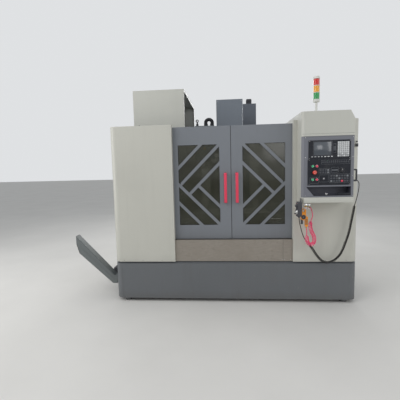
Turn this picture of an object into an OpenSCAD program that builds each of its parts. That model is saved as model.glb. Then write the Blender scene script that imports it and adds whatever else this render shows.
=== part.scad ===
// Vertical machining centre: a C-frame milling machine in a sheet-metal cabin.
// X runs to the right, Y runs to the rear and Z is up. The origin lies on the floor,
// at the centre of the four anchor holes.

/* [Cabin] */
// Width of the cabin and of the tank below it
body_w = 2700; // [2640:10:2900]
// Height of the cabin roof edge above the floor
body_h = 2000; // [1980:5:2040]
// Distance from the origin to the front face of the cabin
front_reach = 1150; // [1140:5:1200]
// Depth of the side walls from front to rear
cabin_depth = 1600; // [1560:10:1640]
// Radius of the two front corners
corner_r = 80; // [50:5:110]
// Thickness of the cabin sheet
sheet = 3; // [2:0.5:4]
// Height of the tank above the floor
tank_h = 450; // [440:2:460]
// Gap between the tank and the floor
foot_gap = 40; // [20:2:40]
// Height of the shadow gap between the tank and the cabin
recess_h = 20; // [12:2:28]

/* [Doors] */
// Width of the door opening
opening_w = 1310; // [1290:5:1330]
// Shift of the opening to the right of the machine's middle
opening_x = 10; // [0:2:20]
// Height of the apron below the doors
apron_h = 244; // [230:2:260]
// Distance of the doors behind the cabin front
door_setback = 70; // [66:1:80]
// Folded depth of a door
door_d = 45; // [36:1:50]
// Gap where the two doors meet
door_gap = 6; // [3:1:10]
// Travel of each door
door_travel = 540; // [480:10:545]
// Width of the window in each door
window_w = 458; // [430:2:470]
// Height of the window in each door
window_h = 897; // [860:1:920]
// Solid width between the meeting edge and the window
window_inset = 126; // [110:2:130]
// Height of the window's lower edge above the door's
window_sill = 162; // [150:2:180]
// Width of a lattice strip
strip_w = 36; // [30:1:50]
// Spacing of the lattice strips, measured up the window
strip_pitch = 208; // [190:1:220]
// Length of a door handle
handle_h = 335; // [280:5:360]

/* [Operator housing] */
// Left side of the operator housing
housing_x = 705; // [700:1:720]
// Width of the operator housing
housing_w = 510; // [500:2:530]
// Depth of the operator housing in front of the cabin
housing_d = 200; // [180:2:220]
// Underside of the operator housing above the floor
housing_z = 1145; // [1130:1:1160]
// Height that the housing stands above the cabin roof edge
roof_rise = 55; // [40:1:70]
// Diameter of the mounting hole of a push button
button_bore = 22; // [20:0.5:24]
// Travel of a push button
button_travel = 4; // [2:0.5:5]

/* [Axes] */
// Travel of the table to each side
x_reach = 400; // [300:10:400]
// Travel of the saddle to each side
y_reach = 250; // [200:5:250]
// Travel of the head down from its top position
z_reach = 500; // [400:10:500]
// Length of the table
table_l = 1000; // [900:10:1100]
// Width of the table
table_w = 500; // [480:5:510]
// Height of the table top above the floor
table_top = 930; // [925:1:945]
// Width of a T-slot at its mouth
slot_w = 18; // [14:1:22]
// Spacing of the T-slots
slot_pitch = 90; // [80:1:96]
// Width of a linear rail
rail_w = 34; // [30:1:38]
// Height of a linear rail
rail_h = 30; // [26:1:32]
// Diameter of the Y and Z ball screws
screw_d = 40; // [32:1:44]
// Spindle nose above the floor, with the head at the top
nose_z = 1550; // [1540:1:1560]
// Radius of the spindle's journals
journal_r = 35; // [30:1:40]
// Radius of the spindle nose
nose_r = 44; // [42:0.5:48]

/* [Tool changer] */
// Number of tool pots
pot_count = 24; // [16:1:24]
// Radius of the pot circle
pot_circle_r = 320; // [316:1:324]
// Radius of a tool pot
pot_r = 37; // [30:1:38]
// Distance from the arm's shaft to each gripper
arm_reach = 310; // [300:1:320]

/* [Chip lift] */
// Inside radius of the chip trough
trough_r = 44; // [42:1:46]
// Radius of the screw flight
flight_r = 36; // [30:1:36]
// Pitch of the screw flight
flight_pitch = 80; // [60:5:100]

/* [Hidden] */

$fn = 48;
fit = 0.05;           // radial clearance of a running fit
gap = 0.3;            // clearance between sliding or seated pieces
e = 1;                // overlap of cutting tools past a face

// Cabin
front_y = -front_reach;
rear_y = front_y + cabin_depth;
side_x = body_w / 2;
panel_z = tank_h + recess_h;
rim_inset = 25;       // setback of the rim that the cabin stands on
flange_w = 40;        // width of a folded flange
open_l = opening_x - opening_w / 2;
open_r = opening_x + opening_w / 2;
tank_wall = 5;

// Bed, column and guideways
bed_half = 430;
bed_top_half = 300;
bed_top = 560;
bed_foot = 70;
bed_front = front_y + 120;
bed_rear = 850;
y_rail_x = 210;
x_rail_y = 150;
z_rail_x = 180;
spindle_y = -300;
guide_y = 290;        // face of the column that carries the Z rails
column_rear = 820;
column_top = 2100;
column_half = 300;
arch_half = 305;
arch_top = 680;
arch_rear = 600;
channel_half = 130;   // half width of the channel that holds the Y ball screw
screw_y_z = 500;      // height of the Y ball screw
recess_half = 90;     // half width of the column recess that holds the Z ball screw
screw_z_y = guide_y + 5;
block_w = 70;         // width of a rail carriage
block_l = 100;        // length of a rail carriage
lift = 15;            // distance from a rail's top to what rides on it
seat = 8;             // height of a rail's side that its carriage leaves free
saddle_z = bed_top + rail_h + lift;
saddle_top = saddle_z + 150;
saddle_half_l = 190;
saddle_half_w = x_reach + 340;
table_z = saddle_top + rail_h + lift;
slab_z = table_top - 70;
x_screw_r = 16;
x_screw_z = saddle_top + 45;
head_y = guide_y - rail_h - lift;
head_plate_z0 = nose_z - 50;
head_plate_z1 = nose_z + 510;
head_plate_half = 230;
head_half = 150;
head_z0 = nose_z + 90;
head_z1 = nose_z + 430;
cover_half = 168;     // half width of the spindle motor cover
cover_top = nose_z + 833;
hood_y0 = spindle_y - 160;
hood_y1 = spindle_y + 355;
screw_r = screw_d / 2;
screw_end_r = screw_r - 6;

// Telescopic way covers: each plate laps the next
way_sheet = 3;
way_step = 6;
way_lap = 15;
front_way_end = bed_front + 20;
saddle_front = spindle_y - saddle_half_l;
saddle_rear = spindle_y + saddle_half_l;
front_way_l = (saddle_front - front_way_end + y_reach + 2 * way_lap) / 3;
rear_way_end = 450;
rear_way_l = (rear_way_end - saddle_rear + y_reach + 2 * way_lap) / 3;
way_half = bed_top_half - 21;
way_top = bed_top + rail_h + 38;
z_way_end = arch_top + 12;
z_way_l = (head_plate_z0 - z_way_end + 2 * way_lap) / 3;
z_way_half = 225;
z_way_y = head_y - 5;

// Doors and apron
door_y = front_y + door_setback;
door_z0 = panel_z + apron_h + 4;
door_z1 = body_h - 22;
door_lap = 25;
door_back = door_y + door_d;
window_z = door_z0 + window_sill;
handle_z = door_z0 + 410;
handle_w = 32;
handle_d = 48;
handle_bar = 14;
handle_x = 60.5;
track_y = door_back + 10;
track_d = 40;
track_z1 = door_z1 - 18;
track_h = 60;
apron_y = front_y + rim_inset - sheet;

// Operator housing
housing_y = front_y - housing_d;
housing_x1 = housing_x + housing_w;
housing_top = body_h + roof_rise;
bevel = 22;
bezel_z0 = housing_z + 53;
bezel_z1 = housing_z + 665;
bezel_y = housing_y + 5;
bezel_t = 3;
roof_depth = 960;
hood_chamfer_w = 41;
hood_chamfer_h = 79;
unit_x = housing_x + 67;
unit_w = 407;
unit_z = bezel_z1 - 230;
unit_h = 188;
unit_y = bezel_y - 6;
unit_lip = 4;
panel_x = unit_x - 6;
panel_w = unit_w + 9;
panel_top = unit_z - 2;
panel_h = 257;
panel_y = bezel_y - 5;
pocket_x = panel_x - 9;
pocket_w = panel_w + 18;
pocket_z = bezel_z0 + 14;
pocket_h = 92;
pocket_d = 120;
back_y = bezel_y + bezel_t;
back_t = 4;
button_r = button_bore / 2 - fit;
collar_h = 3;
collar_r = button_bore / 2 + 4;
button_proud = 6;
col_a = panel_x + 47;
col_b = panel_x + 88;
row_top = panel_top - 66;
row_low = panel_top - 200;
estop_x = panel_x + 63;
estop_z = panel_top - 128;
knob_x = panel_x + 331;
knob_z = panel_top - 112;
knob_shaft_r = 3;
soft_keys = 7;

// Tower lamp
lamp_x = housing_x + 163;
lamp_y = housing_y + 100;
lamp_lens_h = 62;

// Hand pendant, air gun and hoses
pendant_w = 85;
pendant_t = 42;
pendant_h = 150;
pendant_x = housing_x - 2 - gap;
pendant_y = housing_y;
pendant_z = housing_z - 140;
bail_r = 12;
tongue_z = pendant_z + pendant_h + bail_r - 3.4;
wheel_z = pendant_z + 48;
knobs_z = pendant_z + 108;
knob_dy = 20;
gun_x = housing_x + 40;
gun_y = front_y - 112;
gun_z = housing_z - 165;
gun_t = 26;
hook_z = gun_z + 80 + gap;
gland_z = housing_z + 217;
gland_y = housing_y + 110;
coupler_x = housing_x + 122;
coupler_z = housing_z - 66;

// Route of the pendant's cord: the middle stretch is a curly lead
cord_lead_r = 4;
cord_coil_r = 14;
cord_a = [[682, -1350, 993], [684, -1348, 975], [692, -1338, 930], [708, -1318, 880],
    [733, -1272, 815], [764, -1230, 752], [792, -1216, 712]];
cord_b = [[816, -1216, 682], [845, -1214, 645], [868, -1214, 608], [892, -1214, 571],
    [918, -1214, 536], [946, -1214, 507], [978, -1214, 487], [1013, -1214, 480],
    [1049, -1214, 488], [1085, -1214, 507], [1117, -1214, 536], [1144, -1214, 572],
    [1168, -1214, 620], [1188, -1214, 675], [1208, -1214, 735], [1226, -1214, 797],
    [1238, -1214, 855], [1248, -1214, 914], [1258, -1216, 975], [1268, -1220, 1040],
    [1276, -1224, 1095]];
cord_c = [[1286, -1230, 1140], [1298, -1236, 1200], [1306, -1240, 1257], [1310, -1240, 1306],
    [1307, -1240, 1332], [1296, -1240, 1350], [1280, -1240, 1360], [1264, -1240, 1362],
    [1246, -1240, 1362]];

// Route of the coiled air hose
hose_lead_r = 4.5;
hose_coil_r = 22;
hose_a = [[827, -1195, 1079], [829, -1212, 1077], [836, -1226, 1060], [842, -1240, 1025],
    [842, -1250, 990], [834, -1256, 965]];
hose_b = [[824, -1260, 940], [818, -1262, 900], [822, -1262, 855], [840, -1262, 810],
    [858, -1262, 768], [860, -1262, 726], [846, -1262, 696], [818, -1262, 690],
    [794, -1262, 710], [784, -1262, 748], [782, -1262, 790]];
hose_c = [[782, -1262, 815], [782, -1262, 838], [778, -1262, 862], [776, -1262, 881]];

// Tool magazine
disc_x = -850;
disc_t = 30;
disc_z = nose_z + 450;
pot_l = 105;
hub_r = 60;
pin_r = 30;
cover_x0 = -1140;
cover_x1 = -533;
cover_y0 = front_y + 300;
cover_y1 = rear_y - 100;
cover_z0 = nose_z + 70;
cover_z1 = nose_z + 895;
beam_y = cover_y1;
beam_d = rear_y - cover_y1 + 40;
beam_z = body_h;
beam_h = 90;
stay_x = [-440, -column_half - 10];
box_x0 = -460;
box_x1 = -200;
box_z0 = nose_z + 90;
box_z1 = nose_z + 520;
arm_x = -arm_reach;
arm_z = nose_z - 38;
arm_t = 30;
arm_shaft_r = 28;

// Cabinet at the rear
cab_half = 500;
cab_y0 = bed_rear + 10;
cab_d = 320;
cab_z0 = 300;
cab_z1 = 1950;
cab_door_t = 25;

// Chip lift
trough_y = front_y + 150;
trough_z = 225;
trough_wall = 4;
lift_x = -side_x - 62;
mouth = [-406, 315];    // lower lip of the mouth, from the foot of the lift
tip = [-439, 527];      // upper corner of the lift, from its foot
mouth_h = 111;
lift_shaft_r = 11;
lift_start = 95;
lift_len = 425;
hub_s = 45;           // start of the screw's bearing along the lift

// Drive cover on the column
drive_x0 = 210;
drive_x1 = 407;
drive_y0 = guide_y + 30;
drive_y1 = 560;
drive_z1 = column_top + 365;
z_motor_x = 307;
z_motor_y = 440;
z_motor_w = 73;

// Levelling feet
foot_x = bed_half + 45;
foot_y = 780;
foot_r = 65;
anchor_r = 11;
pad_h = 25;
jack_r = 20;
trough_end = -foot_x - 85;

// Block between two corners
module block(x, y, z) {
    translate([x[0], y[0], z[0]]) cube([x[1] - x[0], y[1] - y[0], z[1] - z[0]]);
}

// Outline in X and Z, run along Y from y0 to y1
module along_y(y0, y1) {
    translate([0, y1, 0]) rotate([90, 0, 0]) linear_extrude(y1 - y0) children();
}

// Outline in Y and Z, run along X from x0 to x1
module along_x(x0, x1) {
    translate([x0, 0, 0]) rotate([90, 0, 90]) linear_extrude(x1 - x0) children();
}

// Rounded rectangle with its lower left corner at the origin
module round_rect(w, h, r) {
    translate([r, 0]) square([w - 2 * r, h]);
    translate([0, r]) square([w, h - 2 * r]);
    for (x = [r, w - r], y = [r, h - r]) translate([x, y]) circle(r);
}

// Round bar along X, Y or Z
module rod_x(x, y, z, r) {
    translate([x[0], y, z]) rotate([0, 90, 0]) cylinder(r = r, h = x[1] - x[0]);
}
module rod_y(x, y, z, r) {
    translate([x, y[1], z]) rotate([90, 0, 0]) cylinder(r = r, h = y[1] - y[0]);
}
module rod_z(x, y, z, r) {
    translate([x, y, z[0]]) cylinder(r = r, h = z[1] - z[0]);
}

// Cabin outline seen from above, moved inwards by an inset
module cabin_plan(inset) {
    r = corner_r - inset;
    w = side_x - inset;
    y = front_y + inset;
    translate([-w, y + r]) square([2 * w, cabin_depth - inset - r]);
    translate([-w + r, y]) square([2 * (w - r), r]);
    for (x = [-w + r, w - r]) translate([x, y + r]) circle(r);
}

// Ring that follows the cabin outline
module cabin_ring(outer, inner, z0, z1) {
    translate([0, 0, z0]) linear_extrude(z1 - z0) difference() {
        cabin_plan(outer);
        translate([0, e]) cabin_plan(inner);
        cabin_plan(inner);
    }
}

// Feet below the bed, with hollow jacking screws at the four corners
module levelling_foot(x, y, hollow) {
    difference() {
        union() {
            rod_z(x, y, [0, pad_h], foot_r);
            rod_z(x, y, [pad_h, bed_foot + 75], jack_r);
            translate([x, y, bed_foot - 22]) cylinder(r = 32, h = 22, $fn = 6);
        }
        if (hollow) rod_z(x, y, [-e, bed_foot + 75 + e], anchor_r);
    }
}

module levelling_feet() {
    color("dimgray") {
        for (x = [-foot_x, foot_x]) {
            for (y = [-foot_y, foot_y]) levelling_foot(x, y, true);
            for (y = [-foot_y / 3, foot_y / 3]) levelling_foot(x, y, false);
        }
        for (x = [-side_x + 120, side_x - 120], y = [front_y + 70, rear_y - 90])
            rod_z(x, y, [0, foot_gap], 35);
    }
}

// Cast bed: sloped flanks shed chips, with a channel for the Y ball screw
module bed_casting() {
    color("slategray") difference() {
        union() {
            along_y(bed_front, bed_rear) polygon([
                [-bed_half, bed_foot], [bed_half, bed_foot], [bed_half, bed_top - 160],
                [bed_top_half, bed_top], [-bed_top_half, bed_top], [-bed_half, bed_top - 160]
            ]);
            // Seat of the column
            block([-bed_half, bed_half], [guide_y - 10, bed_rear], [bed_top - 160, bed_top]);
            // Lugs that the jacking screws pass through
            for (s = [-1, 1], y = [-foot_y, -foot_y / 3, foot_y / 3, foot_y])
                translate([s * foot_x, y, bed_foot]) cylinder(r = 45, h = 45);
        }
        block([-channel_half, channel_half], [bed_front + 50, 740], [bed_top - 160, bed_top + e]);
        rod_y(0, [bed_front - e, bed_front + 60], screw_y_z, screw_end_r + 8);
        // Bores of the jacking screws
        for (s = [-1, 1], y = [-foot_y, -foot_y / 3, foot_y / 3, foot_y])
            rod_z(s * foot_x, y, [bed_foot - e, bed_foot + 46], jack_r + gap);
        // Cored pockets in the flanks
        for (s = [-1, 1], y = [bed_front + 160 : 300 : bed_rear - 300])
            translate([s * bed_half, y, bed_foot + 70])
                rotate([90, 0, 90]) translate([0, 0, -40])
                linear_extrude(80) round_rect(210, 180, 30);
        block([-channel_half - 60, channel_half + 60], [bed_front + 120, bed_rear - 120],
            [bed_foot - e, bed_top - 260]);
    }
    // Bearing blocks of the Y ball screw
    color("slategray") for (y = [[bed_front + 70, bed_front + 110], [rear_way_end - 20, rear_way_end + 28 + gap]])
        difference() {
            block([-60, 60], y, [bed_top - 160, bed_top - 20]);
            rod_y(0, [y[0] - e, y[1] + e], screw_y_z, screw_end_r + fit);
        }
}

// Cast column with spread legs, an arch for the way cover and a recess for the Z ball screw
module column_casting() {
    color("slategray") difference() {
        intersection() {
            along_y(guide_y, column_rear) polygon([
                [-bed_half, bed_top], [bed_half, bed_top], [bed_half, bed_top + 120],
                [column_half, 1100], [column_half, column_top], [-column_half, column_top],
                [-column_half, 1100], [-bed_half, bed_top + 120]
            ]);
            along_x(-bed_half, bed_half) polygon([
                [guide_y, bed_top], [column_rear, bed_top], [column_rear, 1000],
                [column_rear - 140, column_top], [guide_y, column_top]
            ]);
        }
        block([-arch_half, arch_half], [guide_y - e, arch_rear], [bed_top - e, arch_top]);
        block([-recess_half, recess_half], [guide_y - e, guide_y + 70], [850, column_top - 60]);
        // Cored pockets of the flanks
        for (s = [-1, 1], z = [1150 : 300 : 1800])
            translate([s * column_half, guide_y + 90, z])
                rotate([90, 0, 90]) translate([0, 0, -30])
                linear_extrude(60) round_rect(220, 240, 30);
    }
    // Bearing blocks of the Z ball screw
    color("slategray") for (z = [[850, 890], [column_top - 100, column_top - 60]]) difference() {
        block([-recess_half, recess_half], [guide_y - 20, guide_y + 70], z);
        rod_z(0, screw_z_y, [z[0] - e, z[1] + e], screw_end_r + fit);
    }
}

// Welded tank with an open chip pan; it wraps the front and both flanks of the bed
module tank_cut(grow) {
    translate([-foot_x - 70 - grow, bed_front - 10 - grow])
        square([2 * (foot_x + 70 + grow), cabin_depth]);
}

module base_tank() {
    color("dimgray") difference() {
        union() {
            translate([0, 0, foot_gap]) linear_extrude(tank_h - foot_gap) difference() {
                cabin_plan(0);
                tank_cut(0);
            }
            // Rim that carries the cabin
            translate([0, 0, tank_h - e]) linear_extrude(recess_h + e) difference() {
                cabin_plan(rim_inset);
                cabin_plan(rim_inset + 3);
                tank_cut(0);
            }
        }
        translate([0, 0, foot_gap + tank_wall]) linear_extrude(tank_h - foot_gap - 2 * tank_wall)
            difference() {
                intersection() {
                    cabin_plan(tank_wall);
                    translate([0, -tank_wall]) cabin_plan(tank_wall);
                }
                tank_cut(tank_wall);
            }
        translate([0, 0, tank_h - tank_wall - e]) linear_extrude(tank_wall + 2 * e) difference() {
            intersection() {
                cabin_plan(rim_inset + 20);
                translate([0, -rim_inset - 20]) cabin_plan(rim_inset + 20);
            }
            tank_cut(rim_inset);
        }
        // Way out of the chip trough
        translate([-side_x - e, trough_y, trough_z]) rotate([90, 0, 90])
            linear_extrude(tank_wall + 10) trough_section(trough_wall);
        // Drain
        rod_x([-side_x - e, -side_x + tank_wall + e], front_y + 420, foot_gap + 45, 14);
    }
}

// Side panel: front, flank, rear wall and the folded flanges, drawn for the right side
module side_panel(edge, rear_edge) {
    intersection() {
        union() {
            cabin_ring(0, sheet, panel_z, body_h);
            cabin_ring(0, flange_w, panel_z, panel_z + sheet);
            cabin_ring(0, flange_w, body_h - sheet, body_h);
        }
        union() {
            block([edge, side_x], [front_y, front_y + flange_w + corner_r], [panel_z, body_h]);
            block([side_x - corner_r, side_x], [front_y, rear_y], [panel_z, body_h]);
        }
    }
    // Folded edge beside the door
    block([edge, edge + sheet], [front_y, door_y - 5], [panel_z, body_h]);
    // Rear wall
    block([rear_edge, side_x], [rear_y - sheet, rear_y], [panel_z, body_h]);
    block([rear_edge, side_x], [rear_y - flange_w, rear_y], [body_h - sheet, body_h]);
    // Latches of the service door in the flank
    for (z = [646, 1110, 1560])
        block([side_x - e, side_x + 17], [front_y + 350, front_y + 366], [z - 24, z + 10]);
}

module left_panel() {
    color("silver") mirror([1, 0, 0]) side_panel(-open_l, bed_half + 15);
}

module right_panel() {
    color("silver") difference() {
        side_panel(open_r, bed_half + 15);
        // Cable passage into the operator housing
        block([housing_x + 120, housing_x1 - 120], [front_y - e, front_y + sheet + e],
            [housing_z + 200, housing_z + 500]);
        // Holes of the air coupler and of the gun's hook
        rod_y(coupler_x, [front_y - e, front_y + sheet + e], coupler_z, 9);
    }
}

// Apron of stainless sheet below the doors, with a seam near its right end
module apron() {
    color("rosybrown") difference() {
        union() {
            block([open_l + gap, open_r - gap], [apron_y, apron_y + sheet],
                [panel_z, door_z0 - 4]);
            block([open_l + gap, open_r - gap], [apron_y, apron_y + flange_w],
                [panel_z, panel_z + sheet]);
            block([open_l + gap, open_r - gap], [apron_y, track_y],
                [door_z0 - 4 - sheet, door_z0 - 4]);
        }
        block([open_r - 116, open_r - 114], [apron_y - e, apron_y + 1], [panel_z - e, door_z0]);
    }
}

// Upper beam that the doors hang on and lower rail behind the apron
module door_tracks() {
    color("gainsboro") {
        difference() {
            block([-side_x + sheet, side_x - sheet], [track_y, track_y + track_d],
                [track_z1 - track_h, track_z1]);
            block([-side_x + sheet - e, side_x - sheet + e], [track_y + 4, track_y + track_d - 4],
                [track_z1 - track_h + 4, track_z1 - 4]);
        }
        block([-side_x + sheet, side_x - sheet], [track_y, track_y + 30],
            [door_z0 - 34, door_z0 + 24]);
    }
}

// Pane opening with the strips left standing
module window_cut() {
    rise = window_h - window_w;
    difference() {
        square([window_w, window_h]);
        // Strips in the lower half fall towards the meeting edge
        for (k = [-1, 0]) lattice_bar([0, k * strip_pitch], 45, [0, window_w]);
        lattice_bar([0, strip_pitch], 45, [0, (window_w + rise - 2 * strip_pitch) / 2]);
        // Strips in the upper half rise towards it
        lattice_bar([0, rise + window_w + strip_pitch], -45, [0, window_w]);
        lattice_bar([0, rise + window_w], -45, [0, window_w - strip_w / 2]);
        lattice_bar([0, rise + window_w - strip_pitch], -45,
            [0, (rise + window_w - strip_pitch) / 2]);
    }
}

// One 45 degree bar through a point on the meeting edge, kept between two widths
module lattice_bar(from, angle, span) {
    intersection() {
        translate(from) rotate(angle) translate([-strip_w, -strip_w / 2])
            square([2 * window_h, strip_w]);
        translate([span[0] - e, -e]) square([span[1] - span[0] + e, window_h + 2 * e]);
    }
}

// Door skin for the right side, with folded returns and the two hangers
module door_skin(edge) {
    x0 = door_gap / 2;
    x1 = edge + door_lap;
    difference() {
        union() {
            along_y(door_y, door_y + sheet) difference() {
                translate([x0, door_z0]) square([x1 - x0, door_z1 - door_z0]);
                translate([x0 + window_inset, window_z]) window_cut();
            }
            difference() {
                block([x0, x1], [door_y, door_back], [door_z0, door_z1]);
                block([x0 + sheet, x1 - sheet], [door_y - e, door_back + e],
                    [door_z0 + sheet, door_z1 - sheet]);
            }
        }
    }
    // Hangers over the upper beam
    for (x = [x0 + 70, x1 - 130]) {
        block([x, x + 60], [door_back - 12, track_y + track_d], [track_z1 + gap, door_z1 - sheet]);
        block([x, x + 60], [door_y + sheet, door_back], [track_z1 - 12, door_z1 - sheet]);
    }
}

module door_pane() {
    x0 = door_gap / 2 + window_inset;
    block([x0 - 14, x0 + window_w + 14], [door_y + sheet, door_y + sheet + 8],
        [window_z - 14, window_z + window_h + 14]);
}

// Pull handle: a bow with rounded corners on two feet
module door_handle() {
    x0 = door_gap / 2 + handle_x - handle_w / 2;
    along_x(x0, x0 + handle_w) translate([door_y - handle_d, handle_z]) difference() {
        round_rect(handle_d + 14, handle_h, 13);
        translate([handle_bar, 26]) round_rect(handle_d + 20, handle_h - 52, 8);
        translate([handle_d, -e]) square([40, handle_h + 2 * e]);
    }
}

module door_left_skin() { color("lightslategray") mirror([1, 0, 0]) door_skin(-open_l); }
module door_left_window() { color("powderblue") mirror([1, 0, 0]) door_pane(); }
module door_left_handle() { color("crimson") mirror([1, 0, 0]) door_handle(); }
module door_right_skin() { color("lightslategray") door_skin(open_r); }
module door_right_window() { color("powderblue") door_pane(); }
module door_right_handle() { color("crimson") door_handle(); }

// Operator housing seen from above, with its bevelled left edge
module housing_plan(inset) {
    polygon([
        [housing_x + inset, front_y], [housing_x + inset, housing_y + bevel + inset / 2],
        [housing_x + bevel + inset / 2, housing_y + inset], [housing_x1 - inset, housing_y + inset],
        [housing_x1 - inset, front_y]
    ]);
}

// Housing seen from the front, with the cut upper right corner
module housing_front(inset) {
    polygon([
        [housing_x + inset, housing_z + inset], [housing_x1 - inset, housing_z + inset],
        [housing_x1 - inset, housing_top - hood_chamfer_h - inset / 2],
        [housing_x1 - hood_chamfer_w - inset / 2, housing_top - inset],
        [housing_x + inset, housing_top - inset]
    ]);
}

module operator_housing() {
    color("silver") difference() {
        union() {
            intersection() {
                translate([0, 0, housing_z]) linear_extrude(housing_top - housing_z) housing_plan(0);
                along_y(housing_y, front_y) housing_front(0);
            }
            intersection() {
                block([housing_x, housing_x1], [front_y, housing_y + roof_depth],
                    [body_h, housing_top]);
                along_y(front_y, housing_y + roof_depth) housing_front(0);
            }
        }
        intersection() {
            translate([0, 0, housing_z]) linear_extrude(housing_top - housing_z) housing_plan(sheet);
            along_y(housing_y, front_y + e) housing_front(sheet);
        }
        intersection() {
            block([housing_x + sheet, housing_x1 - sheet],
                [front_y - e, housing_y + roof_depth - sheet], [body_h + sheet, housing_top - sheet]);
            along_y(front_y - e, housing_y + roof_depth) housing_front(sheet);
        }
        // Opening of the bezel
        block([housing_x - e, housing_x1 + e], [housing_y - e, bezel_y + bevel],
            [bezel_z0, bezel_z1]);
        block([housing_x + sheet, housing_x1 - sheet], [front_y - e, front_y + e],
            [housing_z + sheet, body_h - sheet]);
        // Hole of the cable gland
        rod_x([housing_x1 - sheet - e, housing_x1 + e], gland_y, gland_z, 12);
    }
    // Sloped shelf below the bezel
    color("silver") along_x(housing_x + bevel, housing_x1) polygon([
        [housing_y, housing_z], [housing_y - 20, housing_z], [housing_y - 20, housing_z + 27],
        [housing_y, bezel_z0]
    ]);
}

// Grey front plate that frames the control, folded back along its left edge
module panel_bezel() {
    z = [bezel_z0 + gap, bezel_z1 - gap];
    color("gray") difference() {
        union() {
            block([housing_x + bevel, housing_x1], [bezel_y, bezel_y + bezel_t], z);
            translate([0, 0, z[0]]) linear_extrude(z[1] - z[0]) polygon([
                [housing_x, bezel_y + bevel], [housing_x + bevel, bezel_y],
                [housing_x + bevel, bezel_y + bezel_t], [housing_x + bezel_t, bezel_y + bevel]
            ]);
            block([housing_x1 - sheet, housing_x1], [bezel_y, bezel_y + bevel], z);
        }
        block([unit_x + unit_lip, unit_x + unit_w - unit_lip],
            [bezel_y - e, bezel_y + bezel_t + e],
            [unit_z + unit_lip, unit_z + unit_h - unit_lip]);
        block([panel_x, panel_x + panel_w], [bezel_y - e, bezel_y + bezel_t + e],
            [panel_top - panel_h, panel_top - gap]);
        along_y(bezel_y - e, bezel_y + bezel_t + e) pocket_outline(0);
    }
}

// Outline of the storage pocket, with its slanted lower left corner
module pocket_outline(grow) {
    polygon([
        [pocket_x - grow, pocket_z + pocket_h + grow], [pocket_x - grow, pocket_z + pocket_h - 6],
        [pocket_x + 70 - grow, pocket_z - grow], [pocket_x + pocket_w + grow, pocket_z - grow],
        [pocket_x + pocket_w + grow, pocket_z + pocket_h + grow]
    ]);
}

// Control with a recessed screen, soft keys and a keypad field
module control_unit() {
    color("darkslategray") difference() {
        union() {
            along_y(unit_y, unit_y + 6) translate([unit_x, unit_z])
                round_rect(unit_w, unit_h, 5);
            block([unit_x + unit_lip + gap, unit_x + unit_w - unit_lip - gap],
                [unit_y + 5, unit_y + 75],
                [unit_z + unit_lip + gap, unit_z + unit_h - unit_lip - gap]);
        }
        block([unit_x + 50, unit_x + 222], [unit_y - e, unit_y + 3],
            [unit_z + unit_h - 148, unit_z + unit_h - 16]);
        block([unit_x + 278, unit_x + 395], [unit_y - e, unit_y + 1],
            [unit_z + 20, unit_z + unit_h - 14]);
        for (k = [0 : soft_keys - 1])
            block([unit_x + 28 + 30 * k, unit_x + 48 + 30 * k], [unit_y - e, unit_y + 1],
                [unit_z + 16, unit_z + 26]);
    }
}

// Black backing plate with the operator panel and the storage pocket
module operator_panel() {
    color("black") difference() {
        union() {
            block([pocket_x - 8, pocket_x + pocket_w + 8], [back_y, back_y + back_t],
                [bezel_z0 + 6, panel_top - gap]);
            block([panel_x + gap, panel_x + panel_w - gap], [panel_y, back_y + e],
                [panel_top - panel_h + gap, panel_top - 2 * gap]);
            along_y(back_y, back_y + pocket_d) pocket_outline(3);
            for (p = [[col_a, row_top], [col_b, row_top], [col_a, row_low], [col_b, row_low]])
                rod_y(p[0], [panel_y - collar_h, panel_y + e], p[1], collar_r);
            rod_y(estop_x, [panel_y - collar_h, panel_y + e], estop_z, collar_r + 12);
        }
        along_y(back_y - e, back_y + pocket_d - 3) pocket_outline(0);
        for (p = [[col_a, row_top], [col_b, row_top], [col_a, row_low], [col_b, row_low],
            [estop_x, estop_z]])
            rod_y(p[0], [panel_y - collar_h - e, back_y + back_t + e], p[1], button_bore / 2);
        rod_y(knob_x, [panel_y - e, back_y + back_t + e], knob_z, knob_shaft_r + fit);
    }
}

// Push button with a dished cap
module push_button(x, z) {
    translate([x, panel_y - collar_h - button_proud, z]) rotate([-90, 0, 0]) difference() {
        cylinder(r = button_r, h = 24);
        translate([0, 0, -26]) sphere(r = 28, $fn = 64);
    }
}

module cycle_start_button() { color("seagreen") push_button(col_a, row_top); }
module feed_hold_button() { color("crimson") push_button(col_b, row_top); }
module power_on_button() { color("seagreen") push_button(col_a, row_low); }
module power_off_button() { color("crimson") push_button(col_b, row_low); }

// Mushroom head on a stem
module estop_button() {
    color("tomato") translate([estop_x, panel_y - collar_h - button_travel - 24, estop_z])
        rotate([-90, 0, 0]) rotate_extrude() polygon([
            [0, 0], [10, 1], [17, 4], [20, 9], [20, 14], [15, 20], [button_r, 22],
            [button_r, 46], [0, 46]
        ]);
}

// Rotary switch knob with a finger grip and a bare pointer
module override_knob() {
    color("black") translate([knob_x, panel_y - gap, knob_z]) rotate([90, 0, 0]) {
        cylinder(r = 17, h = 4);
        translate([0, 0, 4]) cylinder(r = 12, h = 10);
        translate([-3, -14, 4]) cube([6, 28, 14]);
        translate([0, 0, -14]) cylinder(r = knob_shaft_r, h = 16);
    }
}

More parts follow.
